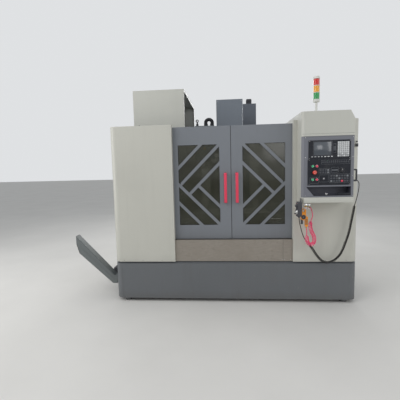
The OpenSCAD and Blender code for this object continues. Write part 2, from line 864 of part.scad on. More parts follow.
// Lamp stack on a pole: base, pole, collar, three lenses and a cap
module tower_lamp() {
    z = housing_top;
    color("whitesmoke") {
        rod_z(lamp_x, lamp_y, [z, z + 14], 38);
        rod_z(lamp_x, lamp_y, [z + 14, z + 100], 11);
        rod_z(lamp_x, lamp_y, [z + 100, z + 130], 32);
    }
    for (k = [0 : 2]) color(["green", "gold", "red"][k])
        rod_z(lamp_x, lamp_y, [z + 130 + k * (lamp_lens_h + 6), z + 130 + k * (lamp_lens_h + 6)
            + lamp_lens_h], 30);
    color("whitesmoke") for (k = [1 : 3])
        rod_z(lamp_x, lamp_y, [z + 130 + k * (lamp_lens_h + 6) - 6,
            z + 130 + k * (lamp_lens_h + 6) + (k == 3 ? 22 : 0)], 32);
}

// D handle, cable gland, pendant bracket, air coupler and the gun's hook
module housing_fittings() {
    handle_y = housing_y + 45;
    // D handle on the right flank
    color("black") along_y(handle_y - 9, handle_y + 9)
        translate([housing_x1, gland_z - 12]) difference() {
            translate([-12, 0]) round_rect(59, 126, 12);
            translate([-20, 14]) round_rect(55, 98, 6);
            translate([-20, -e]) square([20, 130]);
        }
    // Gland of the pendant's cord
    color("black") rod_x([housing_x1 - sheet, housing_x1 + 31], gland_y, gland_z, 11.9);
    // Bracket that the pendant hangs on
    color("silver") {
        block([housing_x - 2, housing_x], [pendant_y - 10, pendant_y + 60],
            [housing_z + 5, housing_z + 45]);
        block([housing_x - 22, housing_x - 2], [pendant_y - 5, pendant_y + 5],
            [tongue_z - 3, tongue_z]);
        block([housing_x - 22, housing_x - 20], [pendant_y - 5, pendant_y + 5],
            [tongue_z, tongue_z + 6]);
    }
    // Air coupler: the coiled hose ends in its face
    color("silver") {
        rod_y(coupler_x, [front_y - 20, front_y + 12], coupler_z, 8.9);
        rod_y(coupler_x, [front_y - 45, front_y - 20], coupler_z, 12);
        rod_y(coupler_x - 36, [front_y - 18, front_y], coupler_z + 6, 10);
    }
    // Hook of the air gun
    color("silver") {
        rod_y(gun_x, [gun_y - 22, front_y], hook_z, 4);
        rod_z(gun_x, gun_y - 22, [hook_z, hook_z + 18], 4);
    }
}

// Pendant: rounded case with a hanging bail and the fixed rate knob
module pendant_case() {
    color("black") {
        along_x(pendant_x - pendant_t, pendant_x)
            translate([pendant_y - pendant_w / 2, pendant_z]) round_rect(pendant_w, pendant_h, 12);
        rod_x([pendant_x - pendant_t - 14, pendant_x - pendant_t + e], pendant_y + knob_dy,
            knobs_z, 12);
        rod_z(pendant_x - pendant_t / 2 - 1, pendant_y, [pendant_z - 12, pendant_z + e], 8);
        // Bail over the bracket's tongue
        translate([pendant_x - 9, pendant_y, pendant_z + pendant_h]) rotate([90, 0, 90])
            rotate_extrude(angle = 180) translate([bail_r, 0]) circle(2, $fn = 24);
    }
}

module pendant_axis_knob() {
    color("black") {
        rod_x([pendant_x - pendant_t - 14, pendant_x - pendant_t - gap], pendant_y - knob_dy,
            knobs_z, 12);
        block([pendant_x - pendant_t - 18, pendant_x - pendant_t - 13],
            [pendant_y - knob_dy - 2, pendant_y - knob_dy + 2], [knobs_z - 11, knobs_z + 11]);
    }
}

// Handwheel with a finger grip
module pendant_wheel() {
    x = pendant_x - pendant_t;
    color("gainsboro") difference() {
        rod_x([x - 12, x - gap], pendant_y, wheel_z, 30);
        rod_x([x - 12 - e, x - 9], pendant_y, wheel_z, 24);
    }
    color("black") rod_x([x - 26, x - 8], pendant_y, wheel_z - 18, 5);
}

// Pistol body of the air gun with its nozzle and hose tail
module air_gun() {
    color("orange") difference() {
        along_y(gun_y - gun_t / 2, gun_y + gun_t / 2) union() {
            translate([gun_x, gun_z + 5]) circle(32);
            translate([gun_x - 20, gun_z + 5]) square([46, 68]);
            translate([gun_x + 3, gun_z + 73]) circle(23);
            translate([gun_x + 16, gun_z - 84]) square([30, 92]);
            translate([gun_x + 31, gun_z - 84]) circle(15);
        }
        rod_y(gun_x, [gun_y - 20, gun_y + 20], gun_z + 72, 12 + gap);
        // Slot of the trigger
        block([gun_x - 33, gun_x + 40], [gun_y - 5 - gap, gun_y + 5 + gap],
            [gun_z - 90, gun_z + 2]);
    }
}

module air_gun_trigger() {
    color("black") {
        block([gun_x - 26, gun_x - 4], [gun_y - 5, gun_y + 5], [gun_z - 70, gun_z - 6]);
        rod_y(gun_x - 12, [gun_y - 5, gun_y + 5], gun_z - 10, 9);
    }
}

// Closed tube swept along a route, its radius given point by point
module swept_tube(points, radii, sides) {
    n = len(points);
    rings = [for (i = [0 : n - 1])
        let (a = points[max(i - 1, 0)], b = points[min(i + 1, n - 1)],
            d = (b - a) / norm(b - a),
            up = [0, 1, 0],
            u = cross(d, up) / norm(cross(d, up)),
            v = cross(u, d))
        for (k = [0 : sides - 1])
            points[i] + radii[i] * (cos(360 * k / sides) * u + sin(360 * k / sides) * v)];
    walls = [for (i = [0 : n - 2], k = [0 : sides - 1])
        let (a = i * sides + k, b = i * sides + (k + 1) % sides)
        each [[a, b, b + sides], [a, b + sides, a + sides]]];
    caps = [[for (k = [sides - 1 : -1 : 0]) k], [for (k = [0 : sides - 1]) (n - 1) * sides + k]];
    polyhedron(rings, concat(walls, caps));
}

module pendant_cord() {
    route = concat(cord_a, cord_b, cord_c);
    radii = [for (p = cord_a) cord_lead_r, for (p = cord_b) cord_coil_r,
        for (p = cord_c) cord_lead_r];
    color("black") swept_tube(route, radii, 8);
}

module air_hose() {
    route = concat(hose_a, hose_b, hose_c);
    radii = [for (p = hose_a) hose_lead_r, for (p = hose_b) hose_coil_r,
        for (p = hose_c) hose_lead_r];
    color("crimson") swept_tube(route, radii, 10);
}

// Saddle: a wide casting with its rails, carriages and the nut of the Y ball screw
module carriage_y(x, y) {
    difference() {
        block([x - block_w / 2, x + block_w / 2], [y - block_l / 2, y + block_l / 2],
            [bed_top + seat, saddle_z + e]);
        block([x - rail_w / 2 - gap, x + rail_w / 2 + gap],
            [y - block_l / 2 - e, y + block_l / 2 + e], [bed_top, bed_top + rail_h + gap]);
    }
}

module saddle() {
    color("slategray") {
        difference() {
            along_y(saddle_front, saddle_rear) polygon([
                [-saddle_half_w, saddle_top - 60], [-bed_top_half, saddle_z],
                [bed_top_half, saddle_z], [saddle_half_w, saddle_top - 60],
                [saddle_half_w, saddle_top], [-saddle_half_w, saddle_top]
            ]);
            block([-saddle_half_w + 60, saddle_half_w - 60],
                [spindle_y - 70, spindle_y + 70], [saddle_top - 30, saddle_top + e]);
        }
        for (x = [-y_rail_x, y_rail_x], y = [saddle_front + block_l / 2 + 2,
            saddle_rear - block_l / 2 - 2]) carriage_y(x, y);
        // Rails of the table
        for (y = [spindle_y - x_rail_y, spindle_y + x_rail_y])
            block([-saddle_half_w, saddle_half_w], [y - rail_w / 2, y + rail_w / 2],
                [saddle_top - e, saddle_top + rail_h]);
        // Nut of the Y ball screw
        difference() {
            block([-50, 50], [spindle_y - 60, spindle_y + 60], [screw_y_z - 50, saddle_z + e]);
            rod_y(0, [spindle_y - 60 - e, spindle_y + 60 + e], screw_y_z, screw_r + gap);
        }
        // Bearing blocks of the X ball screw
        for (s = [-1, 1]) difference() {
            block([s * (saddle_half_w - 30) - 20, s * (saddle_half_w - 30) + 20],
                [spindle_y - 45, spindle_y + 45], [saddle_top - e, x_screw_z + 30]);
            rod_x([s * (saddle_half_w - 30) - 21, s * (saddle_half_w - 30) + 21], spindle_y,
                x_screw_z, x_screw_r - 4 + fit);
        }
        // Flange of the X motor
        difference() {
            block([saddle_half_w - 10, saddle_half_w + 8 + gap], [spindle_y - 48, spindle_y + 48],
                [saddle_top - 50, x_screw_z + 48]);
            rod_x([saddle_half_w - 11, saddle_half_w + 10], spindle_y, x_screw_z, x_screw_r);
        }
    }
}

// Table with T-slots; it carries its carriages and the nut of the X ball screw
module table() {
    y0 = spindle_y - table_w / 2;
    y1 = spindle_y + table_w / 2;
    color("darkgray") {
        along_x(-table_l / 2, table_l / 2) difference() {
            union() {
                translate([y0, slab_z]) square([table_w, table_top - slab_z]);
                for (y = [spindle_y - x_rail_y, spindle_y + x_rail_y])
                    translate([y - 50, table_z]) square([100, slab_z - table_z + e]);
            }
            for (k = [-2 : 2]) translate([spindle_y + k * slot_pitch, table_top]) {
                translate([-slot_w / 2, -22]) square([slot_w, 22 + e]);
                translate([-slot_w * 5 / 6, -34]) square([slot_w * 5 / 3, 14]);
            }
        }
        for (x = [-table_l / 2 + 200, table_l / 2 - 200],
            y = [spindle_y - x_rail_y, spindle_y + x_rail_y]) difference() {
            block([x - block_l / 2, x + block_l / 2], [y - block_w / 2, y + block_w / 2],
                [saddle_top + seat, table_z + e]);
            block([x - block_l / 2 - e, x + block_l / 2 + e],
                [y - rail_w / 2 - gap, y + rail_w / 2 + gap],
                [saddle_top, saddle_top + rail_h + gap]);
        }
        difference() {
            block([-60, 60], [spindle_y - 38, spindle_y + 38], [x_screw_z - 32, slab_z + e]);
            rod_x([-61, 61], spindle_y, x_screw_z, x_screw_r + gap);
        }
    }
}

// Ball screws with their stepped ends
module x_screw() {
    color("lightgray") {
        rod_x([-saddle_half_w + 60, saddle_half_w - 60], spindle_y, x_screw_z, x_screw_r);
        rod_x([-saddle_half_w + 5, saddle_half_w + 8], spindle_y, x_screw_z, x_screw_r - 4);
    }
}
module y_screw() {
    color("lightgray") {
        rod_y(0, [bed_front + 120, rear_way_end - 30], screw_y_z, screw_r);
        rod_y(0, [bed_front + 72, rear_way_end + 28], screw_y_z, screw_end_r);
    }
}
module z_screw() {
    color("lightgray") {
        rod_z(0, screw_z_y, [900, column_top - 110], screw_r);
        rod_z(0, screw_z_y, [852, column_top - 62], screw_end_r);
    }
}

// Square servo motor along X, Y or Z with a rounded end cap
module servo(w, l) {
    translate([-w / 2, -w / 2, 0]) cube([w, w, l * 0.7]);
    translate([0, 0, l * 0.7]) cylinder(r = w * 0.46, h = l * 0.3);
    translate([w * 0.35, -w * 0.3, l * 0.72]) cube([w * 0.35, w * 0.6, l * 0.2]);
}

module x_motor() {
    color("black") translate([saddle_half_w + 8 + gap, spindle_y, x_screw_z])
        rotate([0, 90, 0]) rotate([0, 0, 90]) servo(96, 210);
}

// Motors of the Y and Z ball screws and of the chip lift
module axis_motors() {
    color("black") {
        translate([0, rear_way_end + 28 + gap, screw_y_z]) rotate([-90, 0, 0]) servo(110, 230);
        block([z_motor_x - z_motor_w / 2, z_motor_x + z_motor_w / 2],
            [z_motor_y - z_motor_w / 2, z_motor_y + z_motor_w / 2], [column_top, drive_z1 + 85]);
        translate([lift_x + 5, trough_y + trough_r + trough_wall, trough_z + 75])
            rotate([-90, 0, 0]) servo(70, 150);
    }
}

// Linear rails of the bed and the column
module guide_rails() {
    color("lightgray") {
        for (x = [-y_rail_x, y_rail_x])
            block([x - rail_w / 2, x + rail_w / 2], [bed_front + 30, rear_way_end - 10],
                [bed_top, bed_top + rail_h]);
        for (x = [-z_rail_x, z_rail_x])
            block([x - rail_w / 2, x + rail_w / 2], [guide_y - rail_h, guide_y],
                [head_plate_z0 - z_reach - 50, column_top - 10]);
    }
}

// Head: casting on a tall slide plate, with the fixed part of the spindle cartridge
module head_casting() {
    color("slategray") difference() {
        union() {
            along_x(-head_half, head_half) polygon([
                [head_y, head_plate_z0], [head_y - 40, head_plate_z0],
                [head_y - 125, head_z0 - 30], [spindle_y, head_z0], [spindle_y, head_z1],
                [head_y - 185, head_z1], [head_y - 40, head_plate_z1], [head_y, head_plate_z1]
            ]);
            rod_z(0, spindle_y, [head_z0, head_z1], head_half);
            block([-head_plate_half, head_plate_half], [head_y - 40, head_y],
                [head_plate_z0, head_plate_z1]);
            // Seat of the motor cover
            block([-cover_half, cover_half], [hood_y0, hood_y1], [head_z1 - 24, head_z1]);
            rod_z(0, spindle_y, [nose_z + 55, head_z0 + e], 95);
            rod_z(0, spindle_y, [nose_z + 20, nose_z + 56], 72);
        }
        rod_z(0, spindle_y, [nose_z, nose_z + 50], nose_r + fit);
        rod_z(0, spindle_y, [nose_z + 50 - e, head_z1 + e], journal_r + fit);
        rod_z(0, spindle_y, [nose_z + 120, head_z1 - 60], journal_r + 12);
    }
    // Carriages and the nut of the Z ball screw
    color("slategray") {
        for (x = [-z_rail_x, z_rail_x], z = [head_plate_z0 + 70, head_plate_z1 - 70]) difference() {
            block([x - block_w / 2, x + block_w / 2], [head_y - e, guide_y - seat],
                [z - block_l / 2, z + block_l / 2]);
            block([x - rail_w / 2 - gap, x + rail_w / 2 + gap], [guide_y - rail_h - gap, guide_y],
                [z - block_l / 2 - e, z + block_l / 2 + e]);
        }
        difference() {
            block([-45, 45], [head_y - e, screw_z_y + 45], [nose_z + 260, nose_z + 380]);
            rod_z(0, screw_z_y, [nose_z + 260 - e, nose_z + 380 + e], screw_r + gap);
        }
    }
}

// Spindle: nose with a steep taper, drive keys and a stepped shaft
module spindle() {
    color("lightgray") translate([0, spindle_y, nose_z]) {
        difference() {
            union() {
                cylinder(r = nose_r, h = 48);
                cylinder(r = journal_r, h = 455);
            }
            translate([0, 0, -e]) cylinder(r1 = 22.225 + e * 7 / 48, r2 = 12.7, h = 66 + e);
            translate([0, 0, 65]) cylinder(r = 8.5, h = 120);
        }
        for (s = [-1, 1]) translate([s * 33 - 8, -8, -8]) cube([16, 16, 9]);
    }
}

// Sheet cover of the spindle motor, open below
module spindle_cover() {
    color("lightslategray") difference() {
        translate([-cover_half, hood_y0, head_z1])
            linear_extrude(cover_top - head_z1) round_rect(2 * cover_half, hood_y1 - hood_y0, 12);
        translate([-cover_half + sheet, hood_y0 + sheet, head_z1 - e])
            linear_extrude(cover_top - head_z1 - sheet + e)
            round_rect(2 * (cover_half - sheet), hood_y1 - hood_y0 - 2 * sheet, 9);
        for (k = [0 : 5]) block([cover_half - sheet - e, cover_half + e],
            [spindle_y - 60, spindle_y + 60],
            [cover_top - 90 - 22 * k, cover_top - 82 - 22 * k]);
    }
}

// Way cover plate: an inverted trough that slides over the next one
module way_outline(rank, inset) {
    half = way_half + rank * way_step - inset;
    top = way_top + rank * way_step - inset;
    foot = bed_top + (rank > 0 ? gap : 0) - (inset > 0 ? e : 0);
    polygon([
        [-half, foot], [-half, top - 14 + inset / 2], [-half + 26 - inset / 2, top],
        [half - 26 + inset / 2, top], [half, top - 14 + inset / 2], [half, foot]
    ]);
}

module way_plate(y0, y1, rank) {
    along_y(y0, y1) difference() {
        way_outline(rank, 0);
        way_outline(rank, way_sheet);
    }
}

// Z way cover plate: a flat channel in front of the rails
module z_plate(z0, z1, rank) {
    half = z_way_half + rank * way_step;
    y = z_way_y - rank * way_step;
    translate([0, 0, z0]) linear_extrude(z1 - z0) difference() {
        translate([-half, y]) square([2 * half, guide_y - y - (rank > 0 ? gap : 0)]);
        translate([-half + way_sheet, y + way_sheet])
            square([2 * (half - way_sheet), guide_y - y]);
    }
}

module fixed_way_covers() {
    color("lightsteelblue") {
        way_plate(front_way_end, front_way_end + front_way_l, 0);
        // Closed front end, seated on the bed
        along_y(front_way_end, front_way_end + way_sheet) way_outline(0, 0);
        way_plate(rear_way_end - rear_way_l, rear_way_end, 0);
        z_plate(z_way_end, z_way_end + z_way_l, 0);
    }
}

module saddle_way_covers() {
    color("lightsteelblue") {
        way_plate(saddle_front - front_way_l, saddle_front, 2);
        way_plate(saddle_rear, saddle_rear + rear_way_l, 2);
    }
}

module head_way_cover() {
    color("lightsteelblue") z_plate(head_plate_z0 - z_way_l, head_plate_z0, 2);
}

module y_front_cover_mid() {
    y = (front_way_end + saddle_front) / 2;
    color("lightsteelblue") way_plate(y - front_way_l / 2, y + front_way_l / 2, 1);
}

module y_rear_cover_mid() {
    y = (rear_way_end + saddle_rear) / 2;
    color("lightsteelblue") way_plate(y - rear_way_l / 2, y + rear_way_l / 2, 1);
}

module z_cover_mid() {
    z = (z_way_end + head_plate_z0) / 2;
    color("lightsteelblue") z_plate(z - z_way_l / 2, z + z_way_l / 2, 1);
}

// Sheet hood over the magazine, open to the right and below
module magazine_cover() {
    color("silver") difference() {
        block([cover_x0, cover_x1], [cover_y0, cover_y1], [cover_z0, cover_z1]);
        block([cover_x0 + sheet, cover_x1 - sheet], [cover_y0 + sheet, cover_y1 - sheet],
            [cover_z0 - e, cover_z1 - sheet]);
        // Open right side inside a folded rim
        block([cover_x1 - sheet - e, cover_x1 + e], [cover_y0 + 25, cover_y1 - 25],
            [cover_z0 - e, cover_z1 - 25]);
        // Notch of the frame plate
        block([disc_x - 60, disc_x + 60], [cover_y1 - sheet - e, cover_y1 + e],
            [cover_z0 - e, disc_z + 150]);
    }
}

// Welded bracket that carries the magazine disc and the changer
module magazine_frame() {
    color("slategray") {
        difference() {
            block([disc_x - 90, -column_half], [beam_y, beam_y + beam_d],
                [beam_z, beam_z + beam_h]);
            block([disc_x - 91, -column_half - 8], [beam_y + 8, beam_y + beam_d - 8],
                [beam_z + 8, beam_z + beam_h - 8]);
        }
        // Plate beside the disc, with the hub pin
        along_x(disc_x - 50, disc_x - 35) {
            union() {
                translate([spindle_y, disc_z - 110]) square([beam_y - spindle_y, 220]);
                translate([spindle_y, disc_z]) circle(110);
                translate([beam_y - 60, min(beam_z, disc_z)])
                    square([60, abs(disc_z - beam_z) + beam_h]);
            }
        }
        rod_x([disc_x - 36, disc_x + disc_t + 20], spindle_y, disc_z, pin_r);
        // Arm to the changer
        block(stay_x, [spindle_y + 240, beam_y], [box_z1 - 70, box_z1 - 10]);
        block(stay_x, [beam_y - 40, beam_y + e], [min(beam_z, box_z1 - 70),
            max(beam_z + beam_h, box_z1 - 10)]);
    }
}

// Magazine disc with its pots
module magazine_disc() {
    color("dimgray") translate([disc_x, spindle_y, disc_z]) rotate([0, 90, 0]) {
        difference() {
            union() {
                cylinder(r = pot_circle_r + 24, h = disc_t, $fn = 96);
                cylinder(r = hub_r, h = disc_t + 12);
            }
            translate([0, 0, -e]) cylinder(r = pin_r + fit, h = disc_t + 12 + 2 * e);
            for (k = [0 : pot_count - 1]) rotate(360 / pot_count * (k + 0.5))
                translate([pot_circle_r + 24, 0, -e]) cylinder(r = 14, h = disc_t + 2 * e);
        }
        for (k = [0 : pot_count - 1]) rotate(360 / pot_count * k)
            translate([pot_circle_r, 0, disc_t - e]) rotate_extrude($fn = 32) polygon([
                [13, 0], [pot_r - 9, 0], [pot_r, 14], [pot_r, pot_l - 8], [pot_r - 5, pot_l],
                [23, pot_l], [13, 36]
            ]);
    }
}

// Cam box of the tool changer with its motor, lifting eye and cable arch
module changer_unit() {
    color("slategray") {
        difference() {
            union() {
                translate([box_x0, spindle_y - 110, box_z0]) linear_extrude(box_z1 - box_z0)
                    round_rect(box_x1 - box_x0, 350, 16);
                rod_z(arm_x, spindle_y, [box_z0 - 40, box_z0 + e], 52);
            }
            rod_z(arm_x, spindle_y, [box_z0 - 41, box_z0 + 160], arm_shaft_r + fit);
        }
        // Lifting eye
        rod_z(box_x0 + 25, spindle_y + 50, [box_z1, box_z1 + 66], 9);
        translate([box_x0 + 25, spindle_y + 50, box_z1 + 84]) rotate([90, 0, 0])
            rotate_extrude($fn = 32) translate([15, 0]) circle(6, $fn = 24);
    }
    color("black") {
        // Arch of cable conduit
        translate([-283, spindle_y + 180, box_z1 + 75]) rotate([90, 0, 0])
            rotate_extrude(angle = 180) translate([45, 0]) circle(23, $fn = 32);
        for (s = [-1, 1]) rod_z(-283 + s * 45, spindle_y + 180, [box_z1, box_z1 + 75], 23);
    }
}

// Double-ended arm that swaps two tools; parked along Y
module change_arm() {
    color("lightgray") difference() {
        union() {
            rod_z(arm_x, spindle_y, [arm_z, arm_z + arm_t], 60);
            rod_z(arm_x, spindle_y, [arm_z, box_z0 + 150], arm_shaft_r);
            for (s = [-1, 1]) {
                translate([arm_x - 26, spindle_y + (s < 0 ? -arm_reach : 0), arm_z])
                    cube([52, arm_reach, arm_t]);
                translate([arm_x, spindle_y + s * arm_reach, arm_z]) cylinder(r = 52, h = arm_t);
            }
        }
        // Each gripper is open to one side, where it meets the tool
        for (s = [-1, 1]) translate([arm_x, spindle_y + s * arm_reach, arm_z - e]) {
            cylinder(r = 31.75, h = arm_t + 2 * e);
            translate([s > 0 ? 0 : -60, -27]) cube([60, 54, arm_t + 2 * e]);
        }
    }
}

// Cabinet for the drives: shell, mounting plate and the drive modules on it
module electrical_cabinet() {
    color("silver") {
        difference() {
            block([-cab_half, cab_half], [cab_y0, cab_y0 + cab_d], [cab_z0, cab_z1]);
            block([-cab_half + sheet, cab_half - sheet], [cab_y0 + sheet, cab_y0 + cab_d + e],
                [cab_z0 + sheet, cab_z1 - sheet]);
        }
        // Folded rim around the door opening
        difference() {
            block([-cab_half, cab_half], [cab_y0 + cab_d - sheet, cab_y0 + cab_d],
                [cab_z0, cab_z1]);
            block([-cab_half + 30, cab_half - 30], [cab_y0 + cab_d - sheet - e,
                cab_y0 + cab_d + e], [cab_z0 + 30, cab_z1 - 30]);
        }
        block([-cab_half + 60, cab_half - 60], [cab_y0 + sheet - e, cab_y0 + 12],
            [cab_z0 + 60, cab_z1 - 60]);
        for (k = [0 : 4]) block([-380 + 155 * k, -250 + 155 * k], [cab_y0 + 11, cab_y0 + 200],
            [1350, 1750]);
        for (z = [620, 900, 1180]) block([-400, 400], [cab_y0 + 11, cab_y0 + 80], [z, z + 90]);
        // Brackets to the column and the bed
        for (x = [-250, 250]) {
            block([x - 30, x + 30], [bed_rear, cab_y0 + e], [cab_z0 + 20, cab_z0 + 220]);
            block([x - 30, x + 30], [column_rear, cab_y0 + e], [780, 980]);
        }
    }
}

// Cabinet door with hinge knuckles on its left edge and a bar handle
module cabinet_door() {
    y = cab_y0 + cab_d + gap;
    color("silver") {
        difference() {
            block([-cab_half, cab_half], [y, y + cab_door_t], [cab_z0 + 5, cab_z1 - 5]);
            block([-cab_half + sheet, cab_half - sheet], [y - e, y + cab_door_t - sheet],
                [cab_z0 + 5 + sheet, cab_z1 - 5 - sheet]);
            for (z = [cab_z0 + 200, cab_z1 - 260], k = [0 : 5])
                block([-120, 120], [y + cab_door_t - sheet - e, y + cab_door_t + e],
                    [z + 20 * k, z + 7 + 20 * k]);
        }
        rod_z(-cab_half + 60, y + cab_door_t + 30, [1050, 1200], 8);
        for (z = [1060, 1190]) rod_y(-cab_half + 60, [y + cab_door_t - e, y + cab_door_t + 30],
            z, 7);
        for (z = [cab_z0 + 150, cab_z1 - 250])
            rod_z(cab_half + 5, y + cab_door_t - 8, [z, z + 100], 8);
    }
}

// Cover of the Z drive on the column's right shoulder
module z_drive_cover() {
    color("slategray") difference() {
        block([drive_x0, drive_x1], [drive_y0, drive_y1], [column_top, drive_z1]);
        block([drive_x0 + sheet, drive_x1 - sheet], [drive_y0 + sheet, drive_y1 - sheet],
            [column_top - e, drive_z1 - sheet]);
        block([z_motor_x - z_motor_w / 2 - 2, z_motor_x + z_motor_w / 2 + 2],
            [z_motor_y - z_motor_w / 2 - 2, z_motor_y + z_motor_w / 2 + 2],
            [drive_z1 - sheet - e, drive_z1 + e]);
    }
}

// Section of the chip trough: round below and square above, under a bolted lid
module trough_section(wall) {
    r = trough_r + wall;
    circle(r);
    translate([-r, 0]) square([2 * r, r]);
}

// Side view of the lift; the inset outline breaks through the mouth
module lift_side(w) {
    r = trough_r + trough_wall - w;
    cut = w > 0 ? 1 : 0;
    translate([lift_x, trough_z]) polygon([
        [40 - w, -r], [-13 - 0.4 * w, -r], mouth + cut * [-12, 16.5],
        [tip[0], mouth[1] + mouth_h] + cut * [-12, -2], [tip[0] + w, mouth[1] + mouth_h],
        [tip[0] + w, tip[1] - 1.5 * w], [12 + 0.4 * w, r], [40 - w, r]
    ]);
}

// Trough through the tank, and the lift that rises and widens to its mouth
module chip_trough() {
    half = trough_r + trough_wall;
    color("dimgray") difference() {
        union() {
            difference() {
                union() {
                    trough_run(lift_x + 39, trough_wall);
                    along_y(trough_y - half, trough_y + half) lift_side(0);
                }
                trough_run(lift_x + 35, 0);
                along_y(trough_y - trough_r, trough_y + trough_r) lift_side(trough_wall);
                // Inlet below the chip pan
                block([-side_x + 100, trough_end - 80],
                    [trough_y - trough_r + 8, trough_y + trough_r - 8],
                    [trough_z + trough_r - e, trough_z + half + e]);
            }
            // Bearing of the screw on a cross bar
            lift_frame() {
                translate([-12, -trough_r - 2, hub_s]) cube([24, 2 * trough_r + 4, 40]);
                translate([0, 0, hub_s]) cylinder(r = lift_shaft_r + 10, h = 40);
            }
        }
        lift_frame() cylinder(r = lift_shaft_r + fit, h = 120);
    }
}

module trough_run(x, wall) {
    translate([x, trough_y, trough_z]) rotate([90, 0, 90])
        linear_extrude(trough_end - x + (wall > 0 ? 0 : e)) trough_section(wall);
}

// Frame of the lift: Z runs up along its axis
module lift_frame() {
    translate([lift_x, trough_y, trough_z]) rotate([0, -45, 0]) children();
}

// Screw flight of the chip lift
module chip_screw() {
    turns = lift_len / flight_pitch;
    steps = floor(turns * 20);
    ring = [for (i = [0 : steps]) let (a = 360 * turns * i / steps,
        z = lift_len * i / steps)
        each [[8 * cos(a), 8 * sin(a), z], [flight_r * cos(a), flight_r * sin(a), z],
            [flight_r * cos(a), flight_r * sin(a), z + 6], [8 * cos(a), 8 * sin(a), z + 6]]];
    faces = [for (i = [0 : steps - 1], k = [0 : 3])
        let (a = 4 * i + k, b = 4 * i + (k + 1) % 4)
        each [[a, b, b + 4], [a, b + 4, a + 4]]];
    caps = [[3, 2, 1, 0], [4 * steps, 4 * steps + 1, 4 * steps + 2, 4 * steps + 3]];
    color("gray") lift_frame() {
        translate([0, 0, lift_start]) polyhedron(ring, concat(faces, caps));
        translate([0, 0, hub_s - 20]) cylinder(r = lift_shaft_r, h = lift_len + 90);
    }
}

levelling_feet();
bed_casting();
column_casting();
base_tank();
left_panel();
right_panel();
apron();
door_tracks();
operator_housing();
panel_bezel();
control_unit();
operator_panel();
electrical_cabinet();
cabinet_door();
magazine_cover();
magazine_frame();
changer_unit();
guide_rails();
axis_motors();
z_drive_cover();
tower_lamp();
housing_fittings();
pendant_case();
pendant_cord();
air_gun();
air_hose();
chip_trough();
fixed_way_covers();
door_left_skin();
door_left_window();
door_left_handle();
door_right_skin();
door_right_window();
door_right_handle();
saddle();
saddle_way_covers();
x_motor();
table();
x_screw();
y_screw();
z_screw();
head_casting();
head_way_cover();
spindle_cover();
spindle();
magazine_disc();
change_arm();
y_front_cover_mid();
y_rear_cover_mid();
z_cover_mid();
estop_button();
cycle_start_button();
feed_hold_button();
power_on_button();
power_off_button();
override_knob();
pendant_wheel();
pendant_axis_knob();
air_gun_trigger();
chip_screw();
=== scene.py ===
"""Looks of a vertical machining centre: finishes, small parts, camera and studio.

Lengths are millimetres in the shared frame, except in the studio and where MM converts them.
"""

import logging
import math
from dataclasses import dataclass
from enum import Enum
from itertools import product
from typing import Any, Dict, Iterable, List, Optional, Sequence, Tuple, Union

import bmesh
import bpy
from mathutils import Matrix, Vector


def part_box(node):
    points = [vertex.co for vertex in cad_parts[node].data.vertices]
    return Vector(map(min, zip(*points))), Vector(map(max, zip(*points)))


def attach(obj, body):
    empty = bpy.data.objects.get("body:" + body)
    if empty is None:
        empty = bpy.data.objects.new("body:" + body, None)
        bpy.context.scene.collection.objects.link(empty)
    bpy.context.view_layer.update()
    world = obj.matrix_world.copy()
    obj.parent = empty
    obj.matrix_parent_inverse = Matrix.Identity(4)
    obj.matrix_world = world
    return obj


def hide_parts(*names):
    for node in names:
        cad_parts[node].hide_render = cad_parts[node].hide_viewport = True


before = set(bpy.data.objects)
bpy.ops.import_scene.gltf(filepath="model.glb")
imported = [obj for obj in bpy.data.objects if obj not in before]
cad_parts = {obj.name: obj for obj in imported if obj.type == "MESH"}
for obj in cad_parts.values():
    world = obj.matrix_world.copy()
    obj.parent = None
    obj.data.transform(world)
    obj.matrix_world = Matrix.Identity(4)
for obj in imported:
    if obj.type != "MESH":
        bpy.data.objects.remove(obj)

log = logging.getLogger("machining_centre")
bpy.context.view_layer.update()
Point = Tuple[float, float, float]
Pair = Tuple[float, float]
Colour = Tuple[float, float, float]
Number = Union["Value", float]
MM = 0.001
FRONT, REAR, LEFT, RIGHT, DOWN, UP = ((0, -1, 0), (0, 1, 0), (-1, 0, 0), (1, 0, 0), (0, 0, -1),
                                      (0, 0, 1))
SIDES = ((-1, "left"), (1, "right"))


class Body(Enum):
    """Rigid bodies that pieces ride on."""

    FRAME = "machine_frame"
    DOOR_LEFT = "door_left"
    DOOR_RIGHT = "door_right"
    SADDLE = "cross_slide"
    TABLE = "work_table"
    HEAD = "head"
    DISC = "tool_disc"
    ARM = "swap_arm"
    HANDWHEEL = "handwheel"
    OVERRIDE = "override"
    AXIS_KNOB = "axis_knob"
    ESTOP = "estop"
    CYCLE_START = "cycle_start"
    FEED_HOLD = "feed_hold"
    POWER_ON = "power_on"
    POWER_OFF = "power_off"
    TRIGGER = "gun_trigger"
    REAR_DOOR = "rear_door"


def srgb(*shade: int) -> Colour:
    """Linear colour of an 8-bit display colour."""
    parts = [value / 255 for value in shade]
    return tuple(p / 12.92 if p <= 0.04045 else ((p + 0.055) / 1.055) ** 2.4 for p in parts)


